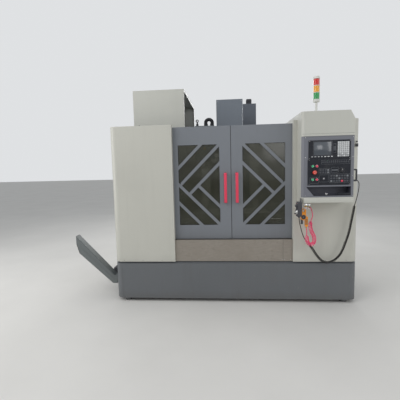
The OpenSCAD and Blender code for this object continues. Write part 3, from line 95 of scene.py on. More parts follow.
class Value:
    """A shader socket that takes part in Python expressions."""

    def __init__(self, graph: "Graph", socket: bpy.types.NodeSocket) -> None:
        """Keeps the socket and the graph that its new nodes go to."""
        self.graph = graph
        self.socket = socket

    def _math(self, operation: str, first: Number, second: Number) -> "Value":
        """Adds one Math node."""
        return self.graph.node("ShaderNodeMath", {"operation": operation}, {0: first, 1: second})

    def __add__(self, other: Number) -> "Value":
        """Sum."""
        return self._math("ADD", self, other)

    def __rsub__(self, other: Number) -> "Value":
        """Difference with the number first."""
        return self._math("SUBTRACT", other, self)

    def __mul__(self, other: Number) -> "Value":
        """Product."""
        return self._math("MULTIPLY", self, other)

    def highest(self, other: Number) -> "Value":
        """The larger of two values."""
        return self._math("MAXIMUM", self, other)

    def remap(self, low: float, high: float, start: float = 0.0, end: float = 1.0) -> "Value":
        """Maps low..high to start..end, and holds the ends."""
        return self.graph.node("ShaderNodeMapRange", {"clamp": True},
                               {0: self, 1: low, 2: high, 3: start, 4: end})


class Graph:
    """Node graph of one material around a Principled shader."""

    def __init__(self, name: str) -> None:
        """Starts an empty graph with its shader and output."""
        self.material = bpy.data.materials.new(name)
        self.material.use_nodes = True
        self.tree = self.material.node_tree
        self.tree.nodes.clear()
        output = self.tree.nodes.new("ShaderNodeOutputMaterial")
        self.shader = self.tree.nodes.new("ShaderNodeBsdfPrincipled")
        self.tree.links.new(self.shader.outputs[0], output.inputs[0])
        self.coordinates = self.node("ShaderNodeTexCoord", {}, {}, "Object")

    def node(self, kind: str, settings: Dict[str, Any], inputs: Dict[Any, Any],
             out: Union[int, str] = 0) -> Value:
        """Adds a node with its attributes and input sockets, and returns one output."""
        new = self.tree.nodes.new(kind)
        for key, setting in settings.items():
            setattr(new, key, setting)
        for key, entry in inputs.items():
            self.feed(new.inputs[key], entry)
        return Value(self, new.outputs[out])

    def feed(self, socket: bpy.types.NodeSocket, entry: Any) -> None:
        """Links a value to a socket or sets the socket's own number or colour."""
        if isinstance(entry, Value):
            self.tree.links.new(entry.socket, socket)
        elif isinstance(entry, tuple) and socket.type == "RGBA":
            socket.default_value = (*entry[:3], 1.0)
        else:
            socket.default_value = entry

    def surface(self, **sockets: Any) -> None:
        """Sets the shader's sockets; an underscore stands for a space."""
        for key, entry in sockets.items():
            self.feed(self.shader.inputs[key.replace("_", " ")], entry)

    def noise(self, scale: float, detail: float = 3.0, rough: float = 0.55,
              stretch: Optional[Point] = None) -> Value:
        """Noise between 0 and 1 on Object coordinates."""
        place = self.coordinates if stretch is None else self.node(
            "ShaderNodeVectorMath", {"operation": "MULTIPLY"}, {0: self.coordinates, 1: stretch})
        return self.node("ShaderNodeTexNoise", {"normalize": True},
                         {"Vector": place, "Scale": scale, "Detail": detail, "Roughness": rough})

    def blend(self, factor: Number, first: Any, second: Any) -> Value:
        """Mixes two colours."""
        return self.node("ShaderNodeMix", {"data_type": "RGBA"},
                         {0: factor, 6: first, 7: second}, 2)

    def bump(self, height: Value, strength: float, distance: float) -> None:
        """Feeds a height to the shader's normal."""
        self.surface(Normal=self.node("ShaderNodeBump", {}, {
            "Height": height, "Strength": strength, "Distance": distance}))


@dataclass(frozen=True)
class Finish:
    """A finish: its name, the record's slot that it belongs to and its main colour."""

    name: str
    slot: str
    colour: Colour

    def build(self) -> bpy.types.Material:
        """Builds the material once and returns it afterwards."""
        known = bpy.data.materials.get(self.name)
        if known:
            return known
        graph = Graph(self.name)
        self.paint(graph)
        return graph.material

    def paint(self, graph: Graph) -> None:
        """Sets up the surface; each kind of finish has its own."""
        raise NotImplementedError

    def tone(self, factor: float) -> Colour:
        """The main colour made lighter or darker."""
        return tuple(min(1.0, c * factor) for c in self.colour)


@dataclass(frozen=True)
class SheetPaint(Finish):
    """Sprayed sheet metal: orange peel, faint run marks, handling grime, paint chips and a darker
    band towards the bottom.
    """

    gloss: float = 0.42
    peel: float = 0.05
    soil: float = 0.3
    foot: Pair = (0.0, 0.0)
    chips: float = 0.0

    def paint(self, graph: Graph) -> None:
        """Sets up the paint."""
        cloud = graph.noise(1.7, 4.0)
        runs = graph.noise(5.0, 3.0, 0.6, (3.0, 3.0, 0.25)).remap(0.5, 0.8)
        specks = graph.noise(38.0, 2.0, 0.7).remap(0.66, 0.76)
        soil = runs * (self.soil * 0.25) + specks * (self.soil * 0.3) + cloud.remap(0.5, 0.9) * (
            self.soil * 0.4)
        # Where a band is given, the paint turns darker towards the bottom between its two heights.
        if self.foot[1] > self.foot[0]:
            height = graph.node("ShaderNodeSeparateXYZ", {}, {0: graph.coordinates}, "Z")
            edge = height + graph.noise(6.0, 3.0) * 0.12
            soil = soil + edge.remap(*self.foot, 1.0, 0.0) * self.soil
        shade = graph.blend(cloud.remap(0.3, 0.7), self.tone(0.96), self.tone(1.04))
        shade = graph.blend(soil, shade, GRIME)
        rough = cloud * 0.1 + (self.gloss - 0.05) + soil * 0.3
        if self.chips:
            chip = graph.noise(24.0, 5.0, 0.7).remap(0.76 - self.chips, 0.77 - self.chips)
            shade = graph.blend(chip, shade, PRIMER)
            rough = rough + chip * 0.2
        graph.surface(Base_Color=shade, Roughness=rough, IOR=1.5)
        graph.bump(graph.noise(420.0, 2.0) + cloud * 0.4, self.peel, 0.001)


@dataclass(frozen=True)
class BareMetal(Finish):
    """Ground, brushed or rolled metal with stains and scratches; on the apron the warm tint and the
    stain colour are partly painted reflection of a brown floor.
    """

    gloss: float = 0.3
    grain: Optional[Point] = None
    stain_and_reflection: Colour = (0.12, 0.09, 0.06)
    stain_and_reflection_share: float = 0.3
    metallic: float = 1.0

    def paint(self, graph: Graph) -> None:
        """Sets up the metal."""
        lines = graph.noise(60.0, 4.0, 0.6, self.grain)
        cloud = graph.noise(3.0, 5.0, 0.6)
        # Blotches and spots of stain; on the apron they are partly painted reflection of a brown
        # floor.
        spots = graph.noise(17.0, 4.0, 0.7).remap(0.55, 0.75) * self.stain_and_reflection_share
        stain_and_reflection = (cloud.remap(0.45, 0.75) * self.stain_and_reflection_share).highest(spots)
        shade = graph.blend(lines.remap(0.35, 0.65), self.tone(0.88), self.tone(1.1))
        graph.surface(Base_Color=graph.blend(stain_and_reflection, shade, self.stain_and_reflection),
                      Metallic=self.metallic - stain_and_reflection * 0.6,
                      Roughness=lines * 0.12 + (self.gloss - 0.06) + stain_and_reflection * 0.35)
        graph.bump(lines, 0.06, 0.001)


@dataclass(frozen=True)
class Moulding(Finish):
    """Moulded plastic or rubber with a fine texture, dust and handling shine."""

    gloss: float = 0.45
    texture: float = 0.12
    dust: float = 0.12
    coat: float = 0.0
    shine: float = 0.5

    def paint(self, graph: Graph) -> None:
        """Sets up the plastic."""
        cloud = graph.noise(14.0, 4.0, 0.6)
        dust = cloud.remap(0.45, 0.8) * self.dust
        graph.surface(Base_Color=graph.blend(dust, self.colour, DUST),
                      Roughness=cloud * 0.14 + (self.gloss - 0.07) + dust * 0.4,
                      Coat_Weight=self.coat, Coat_Roughness=0.12, Specular_IOR_Level=self.shine)
        graph.bump(graph.noise(900.0, 2.0), self.texture, 0.0006)


@dataclass(frozen=True)
class Pane(Finish):
    """Safety glass or polycarbonate with wiped coolant haze."""

    opacity: float = 0.5
    haze: float = 0.3

    def paint(self, graph: Graph) -> None:
        """Sets up the pane."""
        wipe = graph.noise(2.2, 5.0, 0.6, (1.0, 1.0, 1.8)).remap(0.4, 0.75)
        drops = graph.noise(46.0, 3.0, 0.6).remap(0.62, 0.72)
        haze = wipe * self.haze + drops * (self.haze * 0.5)
        graph.surface(Base_Color=graph.blend(haze, self.colour, COOLANT),
                      Roughness=haze * 0.35 + 0.06, Alpha=haze * 0.35 + self.opacity)


GRIME, PRIMER, DUST, COOLANT = ((0.09, 0.08, 0.07), srgb(132, 126, 118), srgb(150, 146, 138),
                                srgb(120, 122, 112))
CREAM = SheetPaint("cream_sheet", "cream_paint", srgb(188, 187, 178), soil=0.16, foot=(0.47, 0.62))
HOOD_CREAM = SheetPaint("hood_sheet", "cream_paint", srgb(186, 186, 178), soil=0.12)
DOOR_GREY = SheetPaint("door_sheet", "grey_paint", srgb(118, 122, 128), 0.36, soil=0.25,
                       foot=(0.7, 0.95))
TANK_GREY = SheetPaint("tank_sheet", "dark_paint", srgb(98, 101, 104), 0.45, soil=0.5,
                       foot=(0.03, 0.2), chips=0.06)
LIFT_GREY = SheetPaint("lift_sheet", "dark_paint", srgb(104, 109, 109), 0.45, soil=0.6, chips=0.08)
BEZEL_GREY = SheetPaint("bezel_sheet", "bezel_grey", srgb(108, 110, 118), 0.4, soil=0.2)
CASTING = SheetPaint("casting_paint", "machine_paint", srgb(122, 130, 134), 0.4, 0.25, 0.5,
                     chips=0.05)
COVER_GREY = SheetPaint("cover_sheet", "machine_paint", srgb(112, 119, 128), 0.38, soil=0.2)
DRIVE_GREY = SheetPaint("drive_sheet", "machine_paint", srgb(84, 90, 99), 0.4, soil=0.25)
# Apron steel: the warm tint and brown stain colour are partly painted reflection of a brown floor
# and partly real stains.
STAINLESS_WITH_PAINTED_REFLECTION = BareMetal("apron_stainless", "stainless", srgb(150, 143, 134), 0.42, (0.3, 1.0, 9.0),
                      srgb(112, 102, 90), 0.35, 0.55)
GROUND = BareMetal("ground_steel", "steel", srgb(176, 176, 174), 0.3, (0.2, 6.0, 1.0), stain_and_reflection_share=0.2)
COVER_STEEL = BareMetal("way_cover_steel", "cover_steel", srgb(168, 170, 172), 0.34,
                        (6.0, 0.3, 1.0))
CHROME = BareMetal("bright_steel", "fitting_steel", srgb(205, 205, 204), 0.18, stain_and_reflection_share=0.08)
BRASS = BareMetal("brass", "fitting_steel", srgb(196, 160, 92), 0.28, stain_and_reflection_share=0.15)
BLACK = Moulding("black_plastic", "black_plastic", srgb(30, 31, 36), dust=0.08, shine=0.35)
PANEL_BLACK = Moulding("panel_black", "black_plastic", srgb(26, 29, 37), 0.42, dust=0.05,
                       shine=0.25)
# Pocket inside: a lighter blue-grey than black plastic, painted light that brightens the pocket's
# shaded hollow.
POCKET_PAINTED_LIGHT = Moulding("pocket_painted_light", "black_plastic", srgb(74, 76, 88), 0.5, dust=0.1)
RUBBER = Moulding("cord_rubber", "cord_black", srgb(26, 24, 23), 0.5, 0.05)
SEAL = Moulding("seal_rubber", "cord_black", srgb(22, 22, 24), 0.6)
RED = Moulding("red_plastic", "red_plastic", srgb(204, 12, 28), 0.3, 0.03, coat=0.2)
ESTOP_RED = Moulding("stop_red", "estop_red", srgb(214, 62, 44), 0.3, 0.03, coat=0.3)
GREEN = Moulding("green_plastic", "green_plastic", srgb(22, 148, 92), 0.28, coat=0.3)
ORANGE = Moulding("gun_orange", "orange_plastic", srgb(240, 148, 30), 0.32, coat=0.3)
HOSE_RED = Moulding("hose_red", "hose_red", srgb(240, 40, 84), 0.22, 0.02, 0.03, 0.5)
# Window panes: the dark olive colour and high opacity are painted shade of the dim cabin behind
# them; the haze and drops are coolant.
WINDOW_PAINTED_SHADE = Pane("window_pane", "window_glass", srgb(50, 50, 36), 0.6, 0.22)
LAMP_AMBER = Moulding("lens_amber", "lamp_plastic", srgb(232, 160, 40), 0.15, coat=0.6)
LAMP_RED = Moulding("lens_red", "lamp_plastic", srgb(206, 34, 30), 0.15, coat=0.6)
LAMP_GREEN = Moulding("lens_green", "lamp_plastic", srgb(36, 150, 78), 0.15, coat=0.6)
WHITE = Moulding("white_plastic", "lamp_plastic", srgb(206, 206, 200), 0.4)
KEY_GREY = Moulding("key_grey", "black_plastic", srgb(168, 170, 172), dust=0.05)
KEY_LIGHT = Moulding("key_light", "black_plastic", srgb(205, 207, 208), dust=0.05)
KEY_DARK = Moulding("key_dark", "black_plastic", srgb(58, 61, 68), 0.42, dust=0.05)
SCREEN = Moulding("screen_glass", "black_plastic", srgb(70, 76, 84), 0.14, 0.0, 0.04, 0.8)
LINE_GREY = Moulding("panel_line", "black_plastic", srgb(112, 115, 120), 0.5)
LENS_WHITE = Moulding("lens_white", "lamp_plastic", srgb(236, 236, 230), 0.3)
OIL_TANK = Moulding("oil_tank", "lamp_plastic", srgb(214, 206, 178), 0.3)


def link(name: str, data: bpy.types.ID) -> bpy.types.Object:
    """Puts new data into the scene as an object."""
    made = bpy.data.objects.new(name, data)
    bpy.context.scene.collection.objects.link(made)
    return made


def polar(plane: str, turn: float, radius: float = 1.0) -> Vector:
    """Offset on a circle in the plane of two axes, turned from the first to the second one."""
    out = Vector()
    setattr(out, plane[0], math.cos(turn) * radius)
    setattr(out, plane[1], math.sin(turn) * radius)
    return out


def inside(spot: Iterable[float], first: Point, last: Point) -> bool:
    """Whether a point lies in the block between two opposite corners."""
    return all(min(a, b) <= c <= max(a, b) for a, c, b in zip(first, spot, last))


class Shape:
    """One piece in the making, in millimetres; its operators can be chained."""

    def __init__(self) -> None:
        """Starts an empty bmesh."""
        self.mesh = bmesh.new()

    def _done(self, verts: Sequence[bmesh.types.BMVert], width: float, steps: int,
              slot: int) -> "Shape":
        """Gives the faces of new vertices their slot and bevels their sharp edges."""
        for face in {f for v in verts for f in v.link_faces}:
            face.material_index = slot
        if width > 0:
            edges = {e for v in verts for e in v.link_edges
                     if len(e.link_faces) == 2 and e.calc_face_angle(0.0) > 0.6}
            made = bmesh.ops.bevel(self.mesh, geom=list(edges), offset=width, segments=steps,
                                   affect="EDGES", profile=0.5, material=-1, clamp_overlap=True)
            for face in made["faces"]:
                face.material_index = slot
        return self

    def box(self, first: Point, last: Point, bevel: float = 0.0, steps: int = 2,
            slot: int = 0) -> "Shape":
        """Adds a block between two opposite corners."""
        size = [abs(b - a) for a, b in zip(first, last)]
        middle = [(a + b) / 2 for a, b in zip(first, last)]
        made = bmesh.ops.create_cube(self.mesh, size=1.0, matrix=Matrix.Translation(middle)
                                     @ Matrix.Diagonal((*size, 1.0)))
        return self._done(made["verts"], bevel, steps, slot)

    def border(self, across: Pair, depth: Pair, height: Pair, width: float, gap: float = 0.0,
               bevel: float = 0.0) -> "Shape":
        """Adds the bars of a frame; the upright ones stop a gap short of its corners."""
        (x0, x1), (y0, y1), (z0, z1) = across, depth, height
        for a, b, c, d in ((x0, x1, z1 - width, z1), (x0, x1, z0, z0 + width),
                           (x0, x0 + width, z0 + gap, z1 - gap),
                           (x1 - width, x1, z0 + gap, z1 - gap)):
            self.box((a, y0, c), (b, y1, d), bevel)
        return self

    def rod(self, start: Point, end: Point, radius: float, end_radius: Optional[float] = None,
            sides: int = 32, bevel: float = 0.0, slot: int = 0) -> "Shape":
        """Adds a round bar or cone from one point to another."""
        first, last = Vector(start), Vector(end)
        line = last - first
        place = Matrix.Translation((first + last) / 2) @ line.to_track_quat(
            "Z", "Y").to_matrix().to_4x4()
        made = bmesh.ops.create_cone(
            self.mesh, cap_ends=True, segments=sides, radius1=radius,
            radius2=radius if end_radius is None else end_radius, depth=line.length, matrix=place)
        return self._done(made["verts"], bevel, 2, slot)

    def screws(self, spots: Iterable[Point], normal: Point, radius: float = 5.0,
               slot: int = 0) -> "Shape":
        """Adds button-head screws with a hexagon socket, sunk half a millimetre."""
        way = Vector(normal)
        for spot in spots:
            base = Vector(spot) - way * 0.5
            rim = base + way * (1.6 + radius * 0.3)
            self.rod(base, base + way * 1.6, radius, radius * 0.94, 20, slot=slot)
            self.rod(base + way * 1.6, rim, radius * 0.94, radius * 0.62, 20, slot=slot)
            self.rod(rim - way * 0.2, rim + way * 0.06, radius * 0.36, None, 6, slot=slot + 1)
        return self

    def bolts(self, name: str, body: Body = Body.FRAME) -> None:
        """Makes a piece of nothing but bright screws with dark sockets."""
        self.piece(name, (CHROME, BLACK), body)

    def lathe(self, profile: Sequence[Pair], at: Point, along: Point, sides: int = 40,
              slot: int = 0) -> "Shape":
        """Spins a profile of radius and height pairs about an axis through a point."""
        turn = Vector(along).to_track_quat("Z", "Y").to_matrix().to_4x4()
        place = Matrix.Translation(at) @ turn
        verts = [self.mesh.verts.new(place @ Vector((r, 0.0, h))) for r, h in profile]
        edges = [self.mesh.edges.new(pair) for pair in zip(verts, verts[1:])]
        made = bmesh.ops.spin(self.mesh, geom=verts + edges, cent=Vector(at), axis=Vector(along),
                              angle=math.tau, steps=sides, use_merge=True, use_duplicate=False)
        verts += [g for g in made["geom_last"] if isinstance(g, bmesh.types.BMVert)]
        faces = {f for v in verts if v.is_valid for f in v.link_faces}
        bmesh.ops.remove_doubles(self.mesh, verts=self.mesh.verts, dist=0.002)
        grown = {f for f in faces if f.is_valid}
        border = list(grown)
        while border:
            near = {f for e in border.pop().edges for f in e.link_faces} - grown
            grown |= near
            border += near
        for face in grown:
            face.material_index = slot
        return self

    def prism(self, outline: Sequence[Pair], axis: str, start: float, end: float,
              bevel: float = 0.0) -> "Shape":
        """Extrudes an outline along X or Y; it is given in the two other axes, in order."""
        def turned(a: float, b: float, depth: float) -> Point:
            """Point of the row frame."""
            return (depth, a, b) if axis == "X" else (a, depth, b)

        verts = [self.mesh.verts.new(turned(*p, start)) for p in outline]
        grown = bmesh.ops.extrude_face_region(self.mesh, geom=[self.mesh.faces.new(verts)])
        moved = [g for g in grown["geom"] if isinstance(g, bmesh.types.BMVert)]
        bmesh.ops.translate(self.mesh, verts=moved, vec=turned(0.0, 0.0, end - start))
        return self._done(verts + moved, bevel, 2, 0)

    def ring(self, at: Point, along: Point, radius: float, wire: float,
             start: Point = RIGHT) -> "Shape":
        """Adds a ring of round wire about an axis through a point."""
        axis, out = Vector(along).normalized(), Vector(start).normalized()
        turn = axis.cross(out).to_track_quat("Z", "Y").to_matrix().to_4x4()
        made = bmesh.ops.create_circle(
            self.mesh, cap_ends=False, segments=12, radius=wire,
            matrix=Matrix.Translation(Vector(at) + out * radius) @ turn)
        edges = list({e for v in made["verts"] for e in v.link_edges})
        bmesh.ops.spin(self.mesh, geom=made["verts"] + edges, cent=Vector(at), axis=axis,
                       angle=math.tau, steps=32, use_merge=True, use_duplicate=False)
        return self

    def piece(self, name: str, finishes: Union[Finish, Sequence[Finish]],
              body: Body = Body.FRAME, sharp: float = 35.0, replaces: Sequence[str] = ()) -> None:
        """Turns the shape into a piece that rides on a body; edges above an angle stay sharp."""
        bmesh.ops.remove_doubles(self.mesh, verts=self.mesh.verts, dist=0.0005)
        bmesh.ops.recalc_face_normals(self.mesh, faces=self.mesh.faces)
        bmesh.ops.scale(self.mesh, vec=(MM, MM, MM), verts=self.mesh.verts)
        adopt(self.mesh, name, finishes, body, sharp, replaces)


def adopt(mesh: bmesh.types.BMesh, name: str, finishes: Union[Finish, Sequence[Finish]],
          body: Body, sharp: float, replaces: Sequence[str] = ()) -> bpy.types.Object:
    """Makes an object of a bmesh in metres, dresses it and sets it on its body."""
    limit = math.radians(sharp)
    for face in mesh.faces:
        face.smooth = True
    for edge in mesh.edges:
        edge.smooth = len(edge.link_faces) == 2 and edge.calc_face_angle(4.0) < limit
    data = bpy.data.meshes.new(name)
    mesh.to_mesh(data)
    mesh.free()
    piece = link(name, data)
    group = [finishes] if isinstance(finishes, Finish) else list(finishes)
    for finish in group:
        data.materials.append(finish.build())
    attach(piece, body.value)
    if replaces:
        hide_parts(*replaces)
    log.info("piece %s: %d faces", name, len(data.polygons))
    return piece


def soften(node: str, finish: Finish, width: float, body: Body = Body.FRAME, turn: float = 40.0,
           zones: Sequence[Tuple[Finish, Point, Point]] = ()) -> None:
    """Stands in for a CAD node with the same shape and rounded edges.

    Args:
        node: the CAD node.
        finish: the finish of the copy.
        width: the width of a rounded edge in millimetres.
        body: the body that the node belongs to.
        turn: the angle in degrees from which an edge is rounded.
        zones: other finishes, each with the corners of the space that it fills.
    """
    mesh = bmesh.new()
    mesh.from_mesh(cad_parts[node].data)
    bmesh.ops.remove_doubles(mesh, verts=mesh.verts, dist=2e-5)
    bmesh.ops.dissolve_limit(mesh, angle_limit=math.radians(0.6), verts=mesh.verts,
                             edges=mesh.edges, use_dissolve_boundaries=False)
    for face in mesh.faces:
        spot = face.calc_center_median() / MM
        for rank, (_, low, high) in enumerate(zones, 1):
            if inside(spot, low, high):
                face.material_index = rank
    piece = adopt(mesh, node + "_sheet", [finish] + [z[0] for z in zones], body, 25.0, [node])
    rounding = piece.modifiers.new("edges", "BEVEL")
    rounding.width = width * MM
    rounding.segments = 2
    rounding.limit_method = "ANGLE"
    rounding.angle_limit = math.radians(turn)
    rounding.use_clamp_overlap = True
    rounding.harden_normals = True


def wire(name: str, loops: Sequence[Sequence[Vector]], radius: float, finish: Finish, body: Body,
         closed: bool) -> bpy.types.Object:
    """Makes a round wire along lines of points in millimetres."""
    curve = bpy.data.curves.new(name, "CURVE")
    curve.dimensions = "3D"
    curve.bevel_depth = radius * MM
    curve.bevel_resolution = 2
    curve.use_fill_caps = not closed
    for loop in loops:
        spline = curve.splines.new("POLY")
        spline.points.add(len(loop) - 1)
        spline.use_cyclic_u = closed
        for point, spot in zip(spline.points, loop):
            point.co = (*(spot * MM), 1.0)
    piece = link(name, curve)
    curve.materials.append(finish.build())
    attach(piece, body.value)
    return piece


@dataclass(frozen=True)
class Lead:
    """A cord along a route in millimetres, with a coiled stretch between two plain ends."""

    name: str
    finish: Finish
    radius: float
    coil: float
    pitch: float
    first: Sequence[Point]
    middle: Sequence[Point]
    last: Sequence[Point]

    def smooth(self, steps: int) -> List[Vector]:
        """Points on a smooth curve through the route's points."""
        path = [Vector(p) for p in (*self.first, *self.middle, *self.last)]
        out: List[Vector] = []
        for i in range(len(path) - 1):
            a, b = path[max(i - 1, 0)], path[i]
            c, d = path[i + 1], path[min(i + 2, len(path) - 1)]
            for t in (k / steps for k in range(steps)):
                out.append(0.5 * ((2 * b) + (c - a) * t + (2 * a - 5 * b + 4 * c - d) * t * t
                                  + (3 * b - a - 3 * c + d) * t ** 3))
        return out + [path[-1]]

    def line(self) -> List[Vector]:
        """The centre line of the whole cord: straight leads and a helix between them."""
        steps, turn_steps = 8, 14
        path = self.smooth(steps)
        start = len(self.first) * steps
        end = (len(self.first) + len(self.middle) - 1) * steps
        lengths = [0.0]
        for a, b in zip(path, path[1:]):
            lengths.append(lengths[-1] + (b - a).length)
        low, high = lengths[start], lengths[end]
        out = path[:start - steps // 2]
        count = int((high - low) / self.pitch * turn_steps)
        guide = Vector(REAR)
        index = start
        for k in range(count + 1):
            at = low + (high - low) * k / count
            while index < len(path) - 2 and lengths[index + 1] < at:
                index += 1
            part = (at - lengths[index]) / max(lengths[index + 1] - lengths[index], 1e-6)
            spot = path[index].lerp(path[index + 1], part)
            along = (path[index + 1] - path[index]).normalized()
            side = (guide - along * guide.dot(along)).normalized()
            reach = (self.coil - self.radius) * min(1.0, k / turn_steps, (count - k) / turn_steps)
            turn = math.tau * k / turn_steps
            out.append(spot + (side * math.cos(turn) + along.cross(side) * math.sin(turn)) * reach)
        return out + path[end + steps // 2:]

    def build(self, node: str) -> None:
        line = self.line()
        piece = wire(self.name, [line], self.radius, self.finish, Body.FRAME, False)
        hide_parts(node)
        length = sum((b - a).length for a, b in zip(line, line[1:])) * MM
        tuple(line[0] * MM)
        2 * self.radius * MM
        log.info("cord %s: %.2f m", self.name, length)


@dataclass
class Studio:
    """Camera at the photograph's place, a pale floor and soft light."""

    eye: Point = (-0.049, -4.663, 1.529)
    yaw: float = 4.86
    pitch: float = 5.81
    roll: float = -1.43
    focal: float = 28.8

    def camera(self) -> None:
        """Sets the camera."""
        data = bpy.data.cameras.new("camera")
        data.lens = self.focal
        data.sensor_width = 36.0
        data.sensor_fit = "HORIZONTAL"
        data.clip_end = 100.0
        camera = link("camera", data)
        camera.matrix_world = (Matrix.Translation(self.eye)
                               @ Matrix.Rotation(math.radians(self.yaw), 4, "Z")
                               @ Matrix.Rotation(math.radians(90.0 - self.pitch), 4, "X")
                               @ Matrix.Rotation(math.radians(self.roll), 4, "Z"))
        bpy.context.scene.camera = camera

    def lamp(self, name: str, place: Point, aim: Point, size: float, power: float) -> None:
        """Adds a square area lamp that faces a point."""
        data = bpy.data.lights.new(name, "AREA")
        data.size = size
        data.energy = power
        lamp = link(name, data)
        lamp.visible_camera = False
        turn = (Vector(aim) - Vector(place)).to_track_quat("-Z", "Y")
        lamp.matrix_world = Matrix.Translation(place) @ turn.to_matrix().to_4x4()

    def world(self) -> None:
        """Soft sky light, with a pale background for the camera, metal and glass."""
        world = bpy.data.worlds.new("studio")
        bpy.context.scene.world = world
        world.use_nodes = True
        tree = world.node_tree
        tree.nodes.clear()
        path = tree.nodes.new("ShaderNodeLightPath")
        mix = tree.nodes.new("ShaderNodeMixShader")
        for rank, colour, strength in ((1, (0.92, 0.96, 1.0, 1.0), 0.48),
                                       (2, (0.74, 0.755, 0.77, 1.0), 1.0)):
            light = tree.nodes.new("ShaderNodeBackground")
            light.inputs[0].default_value = colour
            light.inputs[1].default_value = strength
            tree.links.new(light.outputs[0], mix.inputs[rank])
        out = tree.nodes.new("ShaderNodeOutputWorld")
        either = path.outputs["Is Camera Ray"]
        for other in ("Is Glossy Ray", "Is Transmission Ray"):
            join = tree.nodes.new("ShaderNodeMath")
            join.operation = "MAXIMUM"
            tree.links.new(either, join.inputs[0])
            tree.links.new(path.outputs[other], join.inputs[1])
            either = join.outputs[0]
        tree.links.new(either, mix.inputs[0])
        tree.links.new(mix.outputs[0], out.inputs[0])

    def floor(self) -> None:
        """Lays the floor."""
        mesh = bmesh.new()
        bmesh.ops.create_grid(mesh, x_segments=1, y_segments=1, size=40.0,
                              matrix=Matrix.Translation((0.0, 3.0, -0.0005)))
        data = bpy.data.meshes.new("floor")
        mesh.to_mesh(data)
        mesh.free()
        floor = link("floor", data)
        graph = Graph("studio_floor")
        cloud = graph.noise(0.9, 4.0).remap(0.3, 0.7)
        graph.surface(Base_Color=graph.blend(cloud, srgb(206, 204, 200), srgb(213, 211, 207)),
                      Roughness=0.7)
        data.materials.append(graph.material)

    def build(self) -> None:
        """Sets up the light and the floor."""
        bpy.context.scene.view_settings.view_transform = "Standard"
        self.world()
        self.floor()
        self.lamp("key", (-3.2, -4.2, 4.6), (0.0, -0.8, 1.1), 3.2, 104.0)
        self.lamp("fill", (4.2, -4.0, 2.6), (0.3, -0.8, 1.2), 3.0, 56.0)
        self.lamp("glass", (1.9, -7.8, 2.5), (0.4, -1.1, 1.6), 1.5, 16.0)
        self.lamp("top", (0.0, 0.2, 5.4), (0.0, -0.2, 1.0), 4.0, 72.0)
        self.lamp("side", (-6.0, -1.9, 1.9), (-0.6, -1.0, 1.2), 2.4, 74.0)
        self.lamp("back", (0.5, 5.0, 3.2), (0.0, 0.6, 1.2), 3.0, 90.0)


PENDANT_LEAD = Lead(
    "pendant_cord_curl", RUBBER, 4.0, 14.0, 11.5,
    [(682, -1350, 993), (684, -1348, 975), (692, -1338, 930), (708, -1318, 880),
     (733, -1272, 815), (764, -1230, 752), (792, -1216, 712)],
    [(816, -1216, 682), (845, -1214, 645), (868, -1214, 608), (892, -1214, 571),
     (918, -1214, 536), (946, -1214, 507), (978, -1214, 487), (1013, -1214, 480),
     (1049, -1214, 488), (1085, -1214, 507), (1117, -1214, 536), (1144, -1214, 572),
     (1168, -1214, 620), (1188, -1214, 675), (1208, -1214, 735), (1226, -1214, 797),
     (1238, -1214, 855), (1248, -1214, 914), (1258, -1216, 975), (1268, -1220, 1040),
     (1276, -1224, 1095)],
    [(1286, -1230, 1140), (1298, -1236, 1200), (1306, -1240, 1257), (1310, -1240, 1306),
     (1307, -1240, 1332), (1296, -1240, 1350), (1280, -1240, 1360), (1264, -1240, 1362),
     (1246, -1240, 1362)])
AIR_LEAD = Lead(
    "air_hose_coil", HOSE_RED, 4.5, 22.0, 15.0,
    [(827, -1195, 1079), (829, -1212, 1077), (836, -1226, 1060), (842, -1240, 1025),
     (842, -1250, 990), (834, -1256, 965)],
    [(824, -1260, 940), (818, -1262, 900), (822, -1262, 855), (840, -1262, 810),
     (858, -1262, 768), (860, -1262, 726), (846, -1262, 696), (818, -1262, 690),
     (794, -1262, 710), (784, -1262, 748), (782, -1262, 790)],
    [(782, -1262, 815), (782, -1262, 838), (778, -1262, 862), (776, -1262, 881)])


def rims(node: str, first: Point, last: Point) -> List[List[Vector]]:
    """Finds the closed rims of a node's holes in a thin block, as points in millimetres."""
    mesh = bmesh.new()
    mesh.from_mesh(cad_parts[node].data)
    bmesh.ops.scale(mesh, vec=[1 / MM] * 3, verts=mesh.verts)
    bmesh.ops.remove_doubles(mesh, verts=mesh.verts, dist=0.02)
    near: Dict[Tuple[float, ...], List[Tuple[float, ...]]] = {}
    for edge in mesh.edges:
        ends = [v.co for v in edge.verts]
        if (all(inside(p, first, last) for p in ends) and len(edge.link_faces) == 2
                and edge.calc_face_angle(0.0) > 1.0):
            a, b = (tuple(round(c, 2) for c in p) for p in ends)
            near.setdefault(a, []).append(b)
            near.setdefault(b, []).append(a)
    mesh.free()
    loops = []
    while near:
        loop = [next(iter(near))]
        while near[loop[-1]]:
            after = near[loop[-1]].pop()
            near[after].remove(loop[-1])
            loop.append(after)
        for spot in set(loop):
            del near[spot]
        loops.append([Vector(p) for p in loop[:-1]])
    return loops


